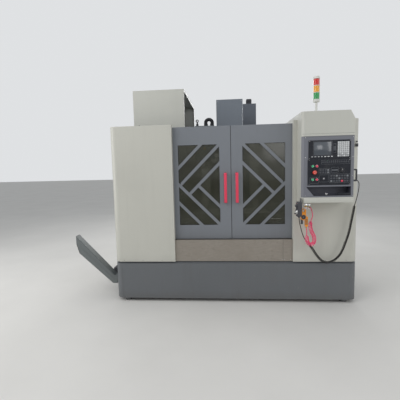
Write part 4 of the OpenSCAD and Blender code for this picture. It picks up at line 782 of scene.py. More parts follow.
@dataclass
class Doors:
    """Two sliding doors with lattice windows, red handles and rubber edges."""

    front: float = -1080.0
    bottom: float = 718.0
    top: float = 1978.0

    def leaf(self, side: str, sign: int, body: Body) -> None:
        """Dresses one door; the sign is 1 for the right one and -1 for the left one."""
        soften("door_" + side + "_skin", DOOR_GREY, 1.0, body)
        soften("door_" + side + "_handle", RED, 5.0, body)
        loops = rims("door_" + side + "_skin", (sign * 100, self.front - 0.1, 820),
                     (sign * 620, self.front + 0.1, 1830))
        wire("window_seal_" + side, loops, 2.2, SEAL, body, True)
        low, high = (Vector(v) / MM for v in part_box("door_" + side + "_handle"))
        x = (low.x + high.x) / 2
        feet = Shape()
        for z in (low.z + 9, high.z - 9):
            feet.rod((x, self.front + 0.2, z), (x, self.front - 3.2, z), 14.6, 13.6, 32, 0.8)
        feet.piece("handle_feet_" + side, BLACK, body)
        guides = Shape()
        for x in (110, 590):
            guides.box((sign * (x - 26), -1034, self.bottom - 1.5),
                       (sign * (x + 26), -1022, self.bottom + 16), 1.5)
        guides.piece("door_guides_" + side, BLACK, body)
        foot, head = self.bottom + 2, self.top - 2
        if sign > 0:
            seal = Shape().box((686, -1079, foot), (691.5, -1060, head), 1.5)
            seal.box((-2.4, -1078.5, foot), (2.6, -1052, head), 1.0)
            seal.piece("door_meeting_seal", SEAL, body)
        else:
            seal = Shape().box((-672.5, -1079, foot), (-668.5, -1060, head), 1.5)
            seal.piece("door_edge_seal", SEAL, body)
        spots = product((sign * 34, sign * 345, 656 if sign > 0 else -640), (self.front,),
                        (self.bottom + 22, self.top - 20))
        Shape().screws(spots, FRONT, 4.0).piece("door_screws_" + side, (DOOR_GREY, BLACK), body)

    def build(self) -> None:
        """Builds both doors."""
        self.leaf("left", -1, Body.DOOR_LEFT)
        self.leaf("right", 1, Body.DOOR_RIGHT)


@dataclass
class Cabin:
    """Cream sheet cabin on its tank, with the apron and the fittings on its skin."""

    side: float = 1350.0
    front: float = -1150.0
    floor: float = 470.0
    top: float = 2000.0
    socket_x: float = 1311.0
    latches: Tuple[float, ...] = (646.0, 1110.0, 1560.0)

    def panels(self) -> None:
        """Rounds the panels' edges and sets their screws."""
        for s, name in SIDES:
            near, far = s * (self.side + 0.3), s * (self.side + 17.5)
            soften(name + "_panel", CREAM, 1.4, zones=[
                (BLACK, (near, -801, z - 25), (far, -783, z + 11)) for z in self.latches])
        screws = Shape().screws(product((-1240, -1020, -800, 790, 1010, 1230), (self.front,),
                                        (self.floor + 16,)), FRONT, 4.5)
        for s, _ in SIDES:
            screws.screws(product((s * self.side,), (-1000, -560, -120, 320),
                                  (self.floor + 18, self.top - 22)), (s, 0, 0), 4.5)
        screws.screws(product((-1200, -900, 900, 1200), (450,), (self.floor + 18,)), REAR, 4.5)
        screws.bolts("cabin_screws")

    def flanks(self) -> None:
        """Service doors in both flanks, with latches, hinges and louvres."""
        for s, name in SIDES:
            skin = s * self.side
            Shape().box((skin - s * 0.6, -820, 560), (skin + s * 2.4, -140, 1640), 1.0).piece(
                "service_door_" + name, CREAM)
            Shape().box((skin - s * 0.5, -823, 557), (skin + s * 0.5, -137, 1643)).piece(
                "service_gasket_" + name, SEAL)
            slots, latches, hinges = Shape(), Shape(), Shape()
            for z in range(1380, 1578, 22):
                slots.prism([(-700, z), (-280, z), (-280, z + 9), (-700, z + 9)], "X",
                            skin + s * 2.2, skin + s * 7.0, 2.2)
            slots.piece("service_louvres_" + name, CREAM)
            for z in self.latches:
                latches.box((skin + s * 2.0, -806, z - 32), (skin + s * 9.0, -778, z + 32), 4.0, 3)
            latches.piece("service_latches_" + name, BLACK)
            for z in (680, 1520):
                hinges.rod((skin + s * 6.0, -132, z - 40), (skin + s * 6.0, -132, z + 40), 6.0,
                           sides=20, bevel=0.8)
                hinges.box((skin + s * 0.2, -160, z - 36), (skin + s * 4.2, -104, z + 36), 0.8)
            hinges.piece("service_hinges_" + name, CHROME)

    def front_fittings(self) -> None:
        """Sockets beside the operator housing, and the apron with its seam, rivets and brush."""
        x, y = self.socket_x, self.front
        sockets = Shape().box((x - 13, y - 13, 1705), (x + 13, y, 1738), 2.5, 3)
        sockets.rod((x, y, 1758), (x, y - 9, 1758), 8.5, sides=24, bevel=1.2)
        sockets.rod((x, y - 7, 1720), (x, y - 16, 1720), 7.0, sides=24, bevel=1.0)
        sockets.piece("strip_sockets", BLACK)
        soften("apron", STAINLESS_WITH_PAINTED_REFLECTION, 0.8)
        Shape().box((560, -1128.5, 472), (561.6, -1127.8, 712)).piece("apron_seam", SEAL)
        rivets = Shape()
        for x in (-620, -380, -130, 120, 370, 548, 574, 640):
            rivets.lathe([(3.4, 0), (3.2, 1.0), (2.2, 1.7), (0, 1.9)], (x, -1128, 486), FRONT, 16)
        rivets.piece("apron_rivets", CHROME)
        Shape().box((-660, -1099, 713.4), (676, -1093, 717), 0.8).piece("door_sill_brush", SEAL)

    def tank(self) -> None:
        """Tank with its gasket, level glass, drain plug and welds."""
        soften("base_tank", TANK_GREY, 2.5)
        gasket = Shape().box((-1262, -1127, 463), (-700, -1120.5, 471.5), 1.2)
        gasket.box((700, -1127, 463), (1262, -1120.5, 471.5), 1.2)
        gasket.box((-700, -1127, 463), (700, -1122, 469.5), 1.0)
        gasket.piece("tank_gasket", SEAL)
        glass = Shape().box((-1354, -420, 150), (-1349.6, -388, 330), 3.0, 3, slot=1)
        glass.box((-1355.2, -411, 168), (-1353.4, -397, 312), 0.8)
        glass.screws([(-1354, -404, 158), (-1354, -404, 322)], LEFT, slot=1)
        glass.piece("level_glass", (LAMP_AMBER, BLACK, CHROME))
        plug, welds = Shape(), Shape()
        plug.lathe([(22, 0), (22, 3), (15, 4.5), (15, 9), (0, 9)], (-1350, -730, 85), LEFT, 32)
        plug.rod((-1358.5, -730, 85), (-1366, -730, 85), 8.5, 8.0, 6, 0.8)
        plug.piece("drain_plug", BRASS)
        for x in (-1272, 1272):
            welds.rod((x, -1149.4, 44), (x, -1149.4, 446), 1.6, sides=10)
        welds.piece("tank_welds", TANK_GREY)

    def build(self) -> None:
        """Builds the cabin."""
        for step in (self.panels, self.flanks, self.front_fittings, self.tank):
            step()


@dataclass
class Lift:
    """Inclined chip lift: flanged lid, bolts, a dark rim of painted shade at the mouth, and a
    rubber cuff.
    """

    half: float = 48.0
    centre: float = -1000.0
    low_edge: Tuple[Pair, Pair] = ((-1425.0, 177.0), (-1818.0, 540.0))
    top_edge: Tuple[Pair, Pair] = ((-1400.0, 273.0), (-1851.0, 752.0))
    mouth: Tuple[Pair, Pair] = ((-1816.0, 542.0), (-1847.2, 650.0))
    cuff: Pair = (-1362.0, -1349.6)

    def strip(self, shape: Shape, low: Vector, high: Vector, rise: Vector, proud: float,
              bevel: float) -> None:
        """Adds a strip on both cheeks between two points, as wide as the rise."""
        outline = [(p.x, p.z) for p in (low, high, high + rise, low + rise)]
        for s in (-1, 1):
            shape.prism(outline, "Y", self.centre + s * (self.half - 0.4),
                        self.centre + s * (self.half + proud), bevel)

    def lid(self) -> None:
        """Lid with turned-down edges along the rise, its bolts and the ridges below."""
        (x0, z0), (x1, z1) = self.top_edge
        start, along = Vector((x0, 0.0, z0)), Vector((x1 - x0, 0.0, z1 - z0))
        length = along.length
        along.normalize()
        out = Vector((along.z, 0.0, -along.x))
        bolts, edges, ridges = Shape(), Shape(), Shape()
        for k, s in product(range(6), (-1, 1)):
            spot = start + along * (length * (0.08 + 0.84 * k / 5))
            bolts.screws([spot + Vector((0, self.centre + s * (self.half - 9), 0))], out, 4.2)
        bolts.bolts("lift_bolts")
        self.strip(edges, start + along * 10 - out * 14, start + along * (length - 16) - out * 14,
                   out * 9, 4.0, 1.2)
        edges.piece("lift_lid_edges", LIFT_GREY)
        (a0, b0), (a1, b1) = self.low_edge
        low = Vector((a0 * 0.42 + x0 * 0.58, 0, b0 * 0.42 + z0 * 0.58))
        high = Vector((a1 * 0.5 + x1 * 0.5 + 26, 0, b1 * 0.5 + z1 * 0.5 - 26))
        run = (high - low).normalized()
        self.strip(ridges, low, high, Vector((-run.z, 0.0, run.x)) * 3, 3.0, 0.8)
        ridges.piece("lift_ridges", LIFT_GREY)

    def rubber(self) -> None:
        """Dark rods around the mouth that paint the shade inside its open end, and the rubber cuff
        where the lift leaves the tank.
        """
        trim, y = Shape(), self.centre
        (x0, z0), (x1, z1) = self.mouth
        # Dark rods on the mouth's rim: painted shade of the inside of the open end.
        for side in (y - self.half + 2, y + self.half - 2):
            trim.rod((x0, side, z0), (x1, side, z1), 3.6, sides=12)
        for x, z in self.mouth:
            trim.rod((x, y - 46, z), (x, y + 46, z), 3.6, sides=12)
        trim.piece("lift_mouth_painted_shade", SEAL)
        cuff = Shape()
        for y0, y1, z0, z1 in ((-55, -47.5, 171, 280), (47.5, 55, 171, 280), (-55, 55, 272.6, 281),
                               (-40, 40, 167, 177.4)):
            cuff.box((self.cuff[0], y + y0, z0), (self.cuff[1], y + y1, z1), 2.0)
        cuff.piece("lift_cuff", SEAL)

    def build(self) -> None:
        """Builds the lift."""
        soften("chip_trough", LIFT_GREY, 1.2)
        self.lid()
        self.rubber()


@dataclass
class Station:
    """Operator housing with its control unit, operator panel and pocket."""

    front: float = -1350.0
    screen: Tuple[Pair, Pair] = ((823.0, 993.0), (1621.0, 1751.0))
    pad: Tuple[Pair, Pair] = ((1050.0, 1167.0), (1600.0, 1754.0))
    cells: Tuple[int, int] = (6, 8)
    dial: Pair = (1097.0, 1466.0)
    stop: Pair = (829.0, 1450.0)
    switch: Pair = (922.0, 1386.0)
    buttons: Tuple[Tuple[str, Finish, Body, float, float], ...] = (
        ("cycle_start", GREEN, Body.CYCLE_START, 813.0, 1512.0),
        ("feed_hold", RED, Body.FEED_HOLD, 854.0, 1512.0),
        ("power_on", GREEN, Body.POWER_ON, 813.0, 1378.0),
        ("power_off", RED, Body.POWER_OFF, 854.0, 1378.0))

    def unit(self) -> None:
        """Screen, soft keys, membrane keypad and card doors of the control unit."""
        (x0, x1), (z0, z1) = self.screen
        Shape().box((x0, -1349.4, z0), (x1, -1347.8, z1), 0.5).piece("control_screen", SCREEN)
        rim, soft, keys, marks = Shape(), Shape(), Shape(), Shape()
        rim.border((x0 - 9, x1 + 9), (-1352.2, -1350.8), (z0 - 8, z1 + 8), 5.0, 5.0, 0.5)
        rim.piece("control_screen_frame", KEY_DARK)
        for k in range(7):
            soft.box((797 + 32 * k, -1352.0, 1602), (815 + 32 * k, -1349.5, 1610), 0.6, slot=k // 4)
        soft.piece("control_soft_keys", (KEY_GREY, KEY_LIGHT))
        (left, right), (low, high) = self.pad
        wide, tall = (right - left - 4) / self.cells[0], (high - low - 4) / self.cells[1]
        for i, j in product(*map(range, self.cells)):
            x, z = left + 3.2 + wide * i, low + 3.2 + tall * j
            keys.box((x, -1351.4, z), (x + wide - 2.4, -1349.7, z + tall - 2.4), 0.5,
                     slot=1 if j < 2 and (i + j) % 3 else 0)
            if j > 1:
                marks.box((x + 3.5, -1351.55, z + tall * 0.42), (x + 9.5, -1351.3, z + tall * 0.54))
        keys.piece("control_keypad", (KEY_LIGHT, KEY_GREY))
        marks.piece("control_key_marks", KEY_DARK)
        cards = Shape().box((1010, -1352.0, 1640), (1038, -1350.6, 1732), 1.0)
        for z in (1646, 1708):
            cards.box((1013, -1352.6, z), (1035, -1351.8, z + 18), 0.6, slot=1)
        cards.piece("control_card_doors", (KEY_DARK, PANEL_BLACK))

    def lines(self) -> None:
        """Thin frames and the dial's ticks printed on the operator panel."""
        lines = Shape()
        for x0, x1, z0, z1 in ((898, 1174, 1530, 1570), (874, 984, 1434, 1488),
                               (878, 968, 1352, 1424), (980, 1174, 1344, 1432),
                               (996, 1064, 1446, 1498), (786, 872, 1340, 1400)):
            lines.border((x0, x1), (self.front - 0.25, self.front + 0.2), (z0, z1), 1.2)
        middle = Vector((self.dial[0], self.front - 0.1, self.dial[1]))
        for k in range(12):
            turn = math.radians(-135 + 270 * k / 11)
            lines.rod(middle + polar("zx", turn, 24), middle + polar("zx", turn, 31), 0.7, sides=6)
        lines.piece("panel_lines", LINE_GREY)

    def keys(self) -> None:
        """Membrane keys, lamps, load meter and key switch of the operator panel."""
        face = self.front
        spots = [(905 + 20.5 * k, 1543, 13, 14, 0) for k in range(13)]
        spots += [(881 + 25 * i, 1440 + 23 * j, 18, 17, 1 if i == 3 else 0)
                  for i, j in product(range(4), range(2))]
        spots += [(987 + 26 * i, 1351 + 26 * j, 19, 18,
                   2 if (i, j) == (4, 0) else 1 if (i + j) % 4 == 0 else 0)
                  for i, j in product(range(7), range(3))]
        keys, lamps = Shape(), Shape()
        for x, z, wide, tall, tone in spots:
            keys.box((x, face - 1.6, z), (x + wide, face + 0.3, z + tall), 0.6, slot=tone)
        keys.piece("panel_keys", (KEY_DARK, LINE_GREY, RED))
        for k in range(13):
            x = 911.5 + 20.5 * k
            lamps.rod((x, face - 1.1, 1563.5), (x, face + 0.2, 1563.5), 1.8, sides=12, bevel=0.3,
                      slot=1 if k == 2 else 0)
        lamps.piece("panel_lamps", (LINE_GREY, GREEN))
        Shape().box((1000, face - 1.8, 1466), (1060, face + 0.3, 1474), 0.8).piece(
            "panel_load_meter", LINE_GREY)
        x, z = self.switch
        switch = Shape().lathe([(0, 0), (14, 0), (14, 2.4), (12.4, 4), (10.6, 4), (9.8, 2.6),
                                (0, 2.6)], (x, face, z), FRONT, slot=2)
        switch.box((x - 1.2, face - 5.2, z - 7), (x + 1.2, face - 2.2, z + 7), 0.4, slot=1)
        switch.rod((x, face - 2.4, z), (x, face - 5.6, z), 5.0, sides=24, bevel=0.6, slot=1)
        switch.piece("panel_key_switch", (CHROME, KEY_LIGHT, BLACK))

    def rings(self) -> None:
        """Rims and caps of the push buttons, with the stop button."""
        bases, rings = Shape(), Shape()
        for _, _, _, x, z in self.buttons:
            bases.lathe([(12.0, -2.4), (15.4, -2.4), (16.6, -1.0), (16.6, 0.2)],
                        (x, self.front - 1.0, z), FRONT, 36)
            rings.ring((x, self.front - 3.1, z), REAR, 13.0, 0.9)
        bases.piece("button_rims", BLACK)
        rings.piece("button_rings", CHROME)
        for name, finish, body, x, z in self.buttons:
            Shape().lathe([(0, 9.25), (5, 9.1), (9.2, 8.6), (10.4, 7.8), (10.9, 6.6), (10.9, 3.4)],
                          (x, self.front, z), FRONT, 36).piece(name + "_cap", finish, body)
        x, z = self.stop
        Shape().lathe([(0, 31.0), (8, 30.8), (15, 29.6), (18.6, 27.4), (20.0, 24.4), (19.6, 21.2),
                       (17.4, 19.0), (12.6, 17.2), (11.6, 13.0)], (x, self.front, z), FRONT,
                      48).piece("estop_mushroom", ESTOP_RED, Body.ESTOP, 50.0)
        arrows = Shape()
        for k, part in product(range(3), range(5)):
            at = Vector((x, self.front - 31.1, z)) + polar("xz", math.tau * k / 3 + part * 0.2, 10)
            arrows.rod(at, at + Vector((0, 0.9, 0)), 1.4, sides=10)
        arrows.piece("estop_turn_marks", WHITE, Body.ESTOP)

    def knob(self) -> None:
        """Pointer and grip ribs of the override switch."""
        x, z = self.dial
        low, high = (Vector(v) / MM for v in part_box("override_knob"))
        radius = (high.x - low.x) / 2
        ribs = Shape()
        for k in range(18):
            out = polar("xz", math.tau * k / 18, radius - 0.6) + Vector((x, 0, z))
            ribs.rod((out.x, high.y - 1.0, out.z), (out.x, low.y + 2.5, out.z), 1.0, 0.7, sides=8)
        ribs.piece("override_ribs", BLACK, Body.OVERRIDE)
        Shape().box((x - 1.1, low.y - 0.3, z + 1), (x + 1.1, low.y + 1.0, z + radius - 1.5),
                    0.2).piece("override_pointer", WHITE, Body.OVERRIDE)

    def trim(self) -> None:
        """Screws of the bezel and the panels, the pocket's latch and lip, and the hood."""
        screws = Shape()
        for xs, y, zs, radius in (((742, 1204), -1345, (1212, 1410, 1600, 1796), 4.4),
                                  ((779, 1172), -1351, (1587, 1761), 3.2),
                                  ((779, 1172), -1350, (1328, 1571), 3.2)):
            screws.screws(product(xs, (y,), zs), FRONT, radius)
        screws.bolts("bezel_screws")
        latch = Shape().box((939, -1345.4, 1228), (963, -1341.5, 1236), 1.2)
        latch.ring((951, -1347, 1232), REAR, 7.5, 1.4).piece("pocket_latch", CHROME)
        lip = Shape().box((832, -1343, 1211), (1190, -1331, 1216), 1.5)
        lip.box((1060, -1344, 1216), (1188, -1338, 1238), 2.0).piece("pocket_lip", PANEL_BLACK)
        seam = Shape().box((708, -1350.3, 1832), (1214, -1349.6, 1833.4))
        seam.box((1214.6, -1330, 1832), (1215.3, -1160, 1833.4)).piece("housing_seam", SEAL)
        screws = Shape().screws(product((735, 1130), (-1250, -1050, -800, -600), (2055,)), UP, 4.5)
        screws.screws(product((1215,), (-1320, -1180), (1170, 1500, 1800, 1930)), RIGHT, 4.5)
        screws.bolts("housing_screws")

    def build(self) -> None:
        """Builds the station."""
        soften("operator_housing", HOOD_CREAM, 2.0)
        soften("panel_bezel", BEZEL_GREY, 1.0)
        soften("control_unit", PANEL_BLACK, 1.2)
        # The pocket's zone takes the lighter pocket finish, painted light inside the pocket.
        soften("operator_panel", PANEL_BLACK, 1.0,
               zones=[(POCKET_PAINTED_LIGHT, (740, -1344, 1200), (1200, -1200, 1310))])
        for step in (self.unit, self.lines, self.keys, self.rings, self.knob, self.trim):
            step()


@dataclass
class SignalLamp:
    """Three-colour lamp on a pole above the operator housing."""

    at: Point = (868.0, -1250.0, 0.0)

    def build(self) -> None:
        """Builds the lamp in place of its solid."""
        lamp = Shape()
        profiles = [[(0, 2055), (38, 2055), (38, 2063), (35.5, 2066), (22, 2069), (11, 2071),
                     (11, 2153), (14, 2156), (30, 2158), (32, 2160), (32, 2184), (0, 2184)],
                    [(0, 2385), (32, 2385), (32, 2404), (29, 2409.5), (22, 2411), (0, 2411)]]
        profiles += [[(0, base - 2.2), (31.4, base - 2.2), (32, base - 1), (32, base + 3),
                      (31.4, base + 4.2), (0, base + 4.2)] for base in (2249, 2317)]
        for profile in profiles:
            lamp.lathe(profile, self.at, UP)
        for rank, base in enumerate((2184.5, 2253.0, 2321.0), 2):
            ribs = [(radius, base + 1.5 + k * 60.0 / 9 + rise) for k in range(9)
                    for radius, rise in ((29.0, 0.0), (30.0, 1.8), (30.0, 4.6), (29.0, 6.4))]
            lamp.lathe([(0, base), (29.0, base), *ribs, (29.0, base + 62), (0, base + 62)],
                       self.at, UP, slot=rank)
        foot = Vector((*self.at[:2], 2067.6))
        lamp.screws([foot + polar("xy", math.tau * (k + 0.5) / 4, 29) for k in range(4)], UP, 3.0,
                    slot=1)
        lamp.piece("signal_lamp", (WHITE, BLACK, LAMP_GREEN, LAMP_AMBER, LAMP_RED),
                   replaces=["tower_lamp"])


@dataclass
class Pendant:
    """Handheld pendant with its wheel, selectors and cord relief."""

    face: float = 660.7
    wheel: Pair = (-1350.0, 1053.0)

    def case(self) -> None:
        """Case, grip ribs, screws, lamp and the selectors' ticks."""
        soften("pendant_case", BLACK, 2.0)
        ribs, ticks = Shape(), Shape()
        for z in range(1020, 1080, 12):
            ribs.box((668, -1309.2, z), (696, -1306.7, z + 5), 0.8)
            ribs.box((700.7, -1372, z), (703.9, -1328, z + 5), 0.8)
        ribs.piece("pendant_ribs", SEAL)
        screws = Shape()
        for x, way in ((self.face, LEFT), (702.7, RIGHT)):
            screws.screws(product((x,), (-1384, -1316), (1013, 1147)), way, 2.6)
        screws.bolts("pendant_screws")
        Shape().rod((self.face + 0.4, -1350, 1140), (self.face - 2.0, -1350, 1140), 3.0, 2.4, 16,
                    0.4).piece("pendant_lamp", LAMP_RED)
        for y, count, start, sweep in ((-1370, 6, -75, 150), (-1330, 4, -60, 120)):
            for k in range(count):
                turn = math.radians(start + sweep * k / (count - 1))
                at = Vector((self.face, y, 1113)) + polar("zy", turn, 17.0)
                ticks.box(at - Vector((0.4, 0.8, 0.8)), at + Vector((0.3, 0.8, 0.8)))
        ticks.piece("pendant_ticks", WHITE)

    def dial(self) -> None:
        """Graduated rim of the handwheel, its grip and the selector's pointer."""
        soften("pendant_wheel", CHROME, 1.2, Body.HANDWHEEL,
               zones=[(BLACK, (634, -1356, 1028), (651.5, -1344, 1042))])
        marks = Shape()
        middle = Vector((self.face - 12.1, *self.wheel))
        for k in range(50):
            out = polar("zy", math.tau * k / 50)
            marks.rod(middle + out * 29, middle + out * (26.8 if k % 5 else 25.6), 0.35, sides=6)
        marks.piece("wheel_graduation", BLACK, Body.HANDWHEEL)
        Shape().ring((self.face - 0.4, *self.wheel), RIGHT, 33.0, 1.4, REAR).piece(
            "wheel_bezel", CHROME)
        Shape().box((641.6, -1370.8, 1114), (643.4, -1369.2, 1122.5), 0.3).piece(
            "selector_pointer", WHITE, Body.AXIS_KNOB)

    def gland(self) -> None:
        """Strain relief rings at both ends of the cord."""
        rings = Shape()
        for k in range(4):
            rings.ring((681, -1350, 1001.5 - 2.6 * k), UP, 8.2 - 0.6 * k, 1.1)
        for k in range(3):
            rings.ring((1240 + 2.4 * k, -1240, 1362), RIGHT, 12.2 - 0.5 * k, 1.2, REAR)
        rings.piece("cord_relief", SEAL)

    def build(self) -> None:
        """Builds the pendant."""
        self.case()
        self.dial()
        self.gland()


@dataclass
class AirGun:
    """Orange blow gun on its hook, with the coupler of its hose."""

    at: Point = (745.0, -1262.0, 980.0)
    socket: Point = (827.0, -1174.0, 1079.0)

    def gun(self) -> None:
        """Body, trigger, nozzle, side covers, grip ribs and hose nut."""
        x, y, z = self.at
        soften("air_gun", ORANGE, 4.0, turn=50.0)
        soften("air_gun_trigger", BLACK, 1.2, Body.TRIGGER)
        Shape().lathe([(0, 0), (12, 0), (12, 6), (9, 8), (7, 18), (5, 22), (4, 34), (2.4, 36),
                       (2.4, 30), (0, 30)], (x - 30, y, z + 6), LEFT, 32).piece(
                           "gun_nozzle", CHROME)
        covers, ribs = Shape(), Shape()
        for s in (-1, 1):
            way, side = (0, s, 0), y + s * 13.0
            covers.lathe([(24, -0.4), (24, 1.0), (22, 2.0), (9, 2.4), (8, 1.6), (0, 1.6)],
                         (x, side, z + 5), way)
            covers.screws([(x, side + s * 1.6, z + 5)], way, 4.0, slot=1)
            covers.screws([(x + 31, side, z - 60)], way, 3.0, slot=1)
        covers.piece("gun_covers", (BLACK, CHROME, BLACK))
        for k, s in product(range(7), (-1, 1)):
            low = z - 20 - 9 * k
            ribs.box((x + 17, y + s * 12.8, low), (x + 45, y + s * 13.9, low + 4), 0.5)
        ribs.piece("gun_grip_ribs", BLACK)
        nut = Shape().rod((x + 31, y, z - 97), (x + 31, y, z - 106), 8.5, 8.5, 6, 0.8)
        nut.rod((x + 31, y, z - 106), (x + 31, y, z - 114), 6.4, 5.6, 20, 0.6)
        nut.piece("gun_hose_nut", BRASS)

    def coupler(self) -> None:
        """Fittings of the housing, and the coupler with its plate."""
        soften("housing_fittings", CHROME, 1.0,
               zones=[(BLACK, (1200, -1340, 1330), (1280, -1200, 1500)),
                      (BRASS, (780, -1200, 1060), (812, -1140, 1100))])
        x, y, z = self.socket
        sleeve = Shape().rod((x - 36, y + 6, z + 6), (x - 36, y - 2, z + 6), 8.0, 8.0, 6, 0.6)
        sleeve.lathe([(9.2, -0.2), (13.4, 0), (13.4, 3), (12.6, 4), (12.6, 9), (13.4, 10),
                      (13.4, 14), (12.2, 15.5)], self.socket, FRONT, 36)
        sleeve.lathe([(4.7, 0), (7.6, 0), (7.6, 8), (6, 10), (4.7, 10)], (x, y - 20.6, z), FRONT,
                     24)
        sleeve.piece("air_coupler_sleeve", BRASS)
        plate, spots = Shape(), ((781, 1056), (837, 1108), (813, 1056))
        plate.box((775, -1151.4, 1050), (843, -1149.6, 1114), 0.5)
        plate.screws([(x, -1151.4, z) for x, z in spots], FRONT, 2.8).bolts("air_plate")

    def build(self) -> None:
        """Builds the gun."""
        self.gun()
        self.coupler()


@dataclass
class ToolChanger:
    """Magazine cover, disc with tool holders, cam box and conduit."""

    cover: Tuple[Point, Point] = ((-1140.0, -850.0, 1620.0), (-533.0, 350.0, 2445.0))
    disc: Point = (-715.0, -300.0, 2000.0)
    pots: int = 24
    circle: float = 320.0
    box: Tuple[Point, Point] = ((-460.0, -410.0, 1640.0), (-200.0, -60.0, 2070.0))
    conduit: Point = (-283.0, -120.0, 2145.0)
    arm: Point = (-310.0, -300.0, 1512.0)

    def shell(self) -> None:
        """Rivets, catch and rubber edge of the magazine cover, whose inside is painted white as
        painted light.
        """
        (x0, y0, z0), (x1, y1, z1) = self.cover
        # The inside faces get white: painted light that lifts the shade inside the cover.
        soften("magazine_cover", HOOD_CREAM, 2.0, zones=[
            (WHITE, (x0 + 1.0, y0 + 1.0, z0 - 1.0), (x1 - 1.0, y1 - 1.0, z1 - 1.0))])
        rivets, edges = Shape(), Shape()
        for x, z in [(x1 - 14, 2040 + 62 * k) for k in range(7)] + [
                (x0 + 60 + 96 * k, z1 - 16) for k in range(6)]:
            rivets.lathe([(3.6, -0.2), (3.4, 1.0), (2.0, 1.8), (0, 2)], (x, y0, z), FRONT, 14)
        rivets.piece("cover_rivets", HOOD_CREAM)
        Shape().screws([(x0 + 62, y0, 2040)], FRONT, 6.5).piece("cover_catch", (BLACK, BLACK))
        for a, b, c, d in ((y0 + 22, y1 - 22, z1 - 28, z1 - 23),
                           (y0 + 22, y0 + 27, z0 + 4, z1 - 23),
                           (y1 - 27, y1 - 22, z0 + 4, z1 - 23)):
            edges.box((x1 - 5, a, c), (x1, b, d), 1.2)
        edges.piece("cover_edge_trim", SEAL)

    def tools(self) -> None:
        """Tool holders in ten of the pots, the pots' rims and the hub's bolts."""
        holders, mouths = Shape(), Shape()
        centre = Vector(self.disc)
        for k in range(self.pots):
            spot = centre + polar("zy", -math.tau * k / self.pots, self.circle)
            mouths.ring(spot - Vector((0.4, 0, 0)), RIGHT, 30.5, 1.6, REAR)
            if k % 5 in (0, 2):
                reach = 78 + 9 * (k % 4)
                holders.lathe([(0, -24), (16, -24), (22.2, 0.6), (31.5, 1.2), (31.5, 5.4),
                               (27, 8.4), (27, 11.4), (31.5, 14.4), (31.5, 18.5), (25, 19.5),
                               (22, 40), (14, 43), (6.5, 44), (6.2, reach), (0, reach)], spot,
                              RIGHT, 28)
        holders.piece("tool_holders", CHROME, Body.DISC)
        mouths.piece("pot_rims", SEAL, Body.DISC)
        hub = Vector((-807.6, *self.disc[1:]))
        spots = [hub + polar("yz", math.tau * k / 8, 52) for k in range(8)]
        Shape().screws(spots, RIGHT, 6.0).bolts("disc_hub_bolts", Body.DISC)

    def cam_box(self) -> None:
        """Cover plate of the cam box with its bolts and sight glass."""
        (x0, y0, z0), (x1, _, z1) = self.box
        soften("changer_unit", CASTING, 2.0,
               zones=[(BLACK, (-370, -160, 2070.5), (-200, -80, 2260)),
                      (BLACK, (-470, -280, 2070.5), (-400, -220, 2200))])
        face = y0 - 5
        plate = Shape().box((x0 + 30, face, z0 + 60), (x1 - 30, y0 + 0.5, z1 - 60), 2.0)
        plate.screws(product((x0 + 42, x1 - 42), (face,), (z0 + 72, (z0 + z1) / 2, z1 - 72)), FRONT,
                     6.0, slot=1)
        plate.lathe([(17, 0), (17, 4), (13, 5), (12, 3.4), (0, 3.4)],
                    ((x0 + x1) / 2, face, z0 + 130), FRONT, 32, slot=3)
        plate.piece("cam_box_cover", (CASTING, CHROME, BLACK, BRASS))

    def pipe(self) -> None:
        """Rings and nuts of the conduit's bend and of the small cable gland."""
        rings, nuts = Shape(), Shape()
        centre = Vector(self.conduit)
        x, y, _ = self.conduit
        for k in range(13):
            turn = math.pi * k / 12
            rings.ring(centre + polar("xz", turn, 45), polar("xz", turn + math.pi / 2), 23.2, 1.5,
                       REAR)
        for s, k in product((-1, 1), range(6)):
            rings.ring((x + 45 * s, y, 2078 + 11 * k), UP, 23.2, 1.5)
        rings.piece("conduit_rings", SEAL)
        for at in (x - 42, x + 42):
            nuts.rod((at, y, 2070.5), (at, y, 2092), 30.0, 30.0, 6, 2.0)
            nuts.rod((at, y, 2092), (at, y, 2134), 27.5, 26.0, 32, 2.0)
        nuts.rod((-435, -250, 2070.5), (-435, -250, 2118), 19.0, 15.0, 32, 2.0)
        nuts.piece("conduit_nuts", BLACK)

    def arm_cap(self) -> None:
        """Cap of the changing arm with its bolts."""
        x, y, z = self.arm
        cap = Shape().screws(product((x - 36, x + 36), (y - 60, y + 60), (z,)), DOWN)
        cap.lathe([(0, 0), (44, 0), (44, -5), (38, -8), (0, -8)], self.arm, UP)
        cap.bolts("arm_cap", Body.ARM)

    def build(self) -> None:
        """Builds the changer."""
        for step in (self.shell, self.tools, self.cam_box, self.pipe, self.arm_cap):
            step()


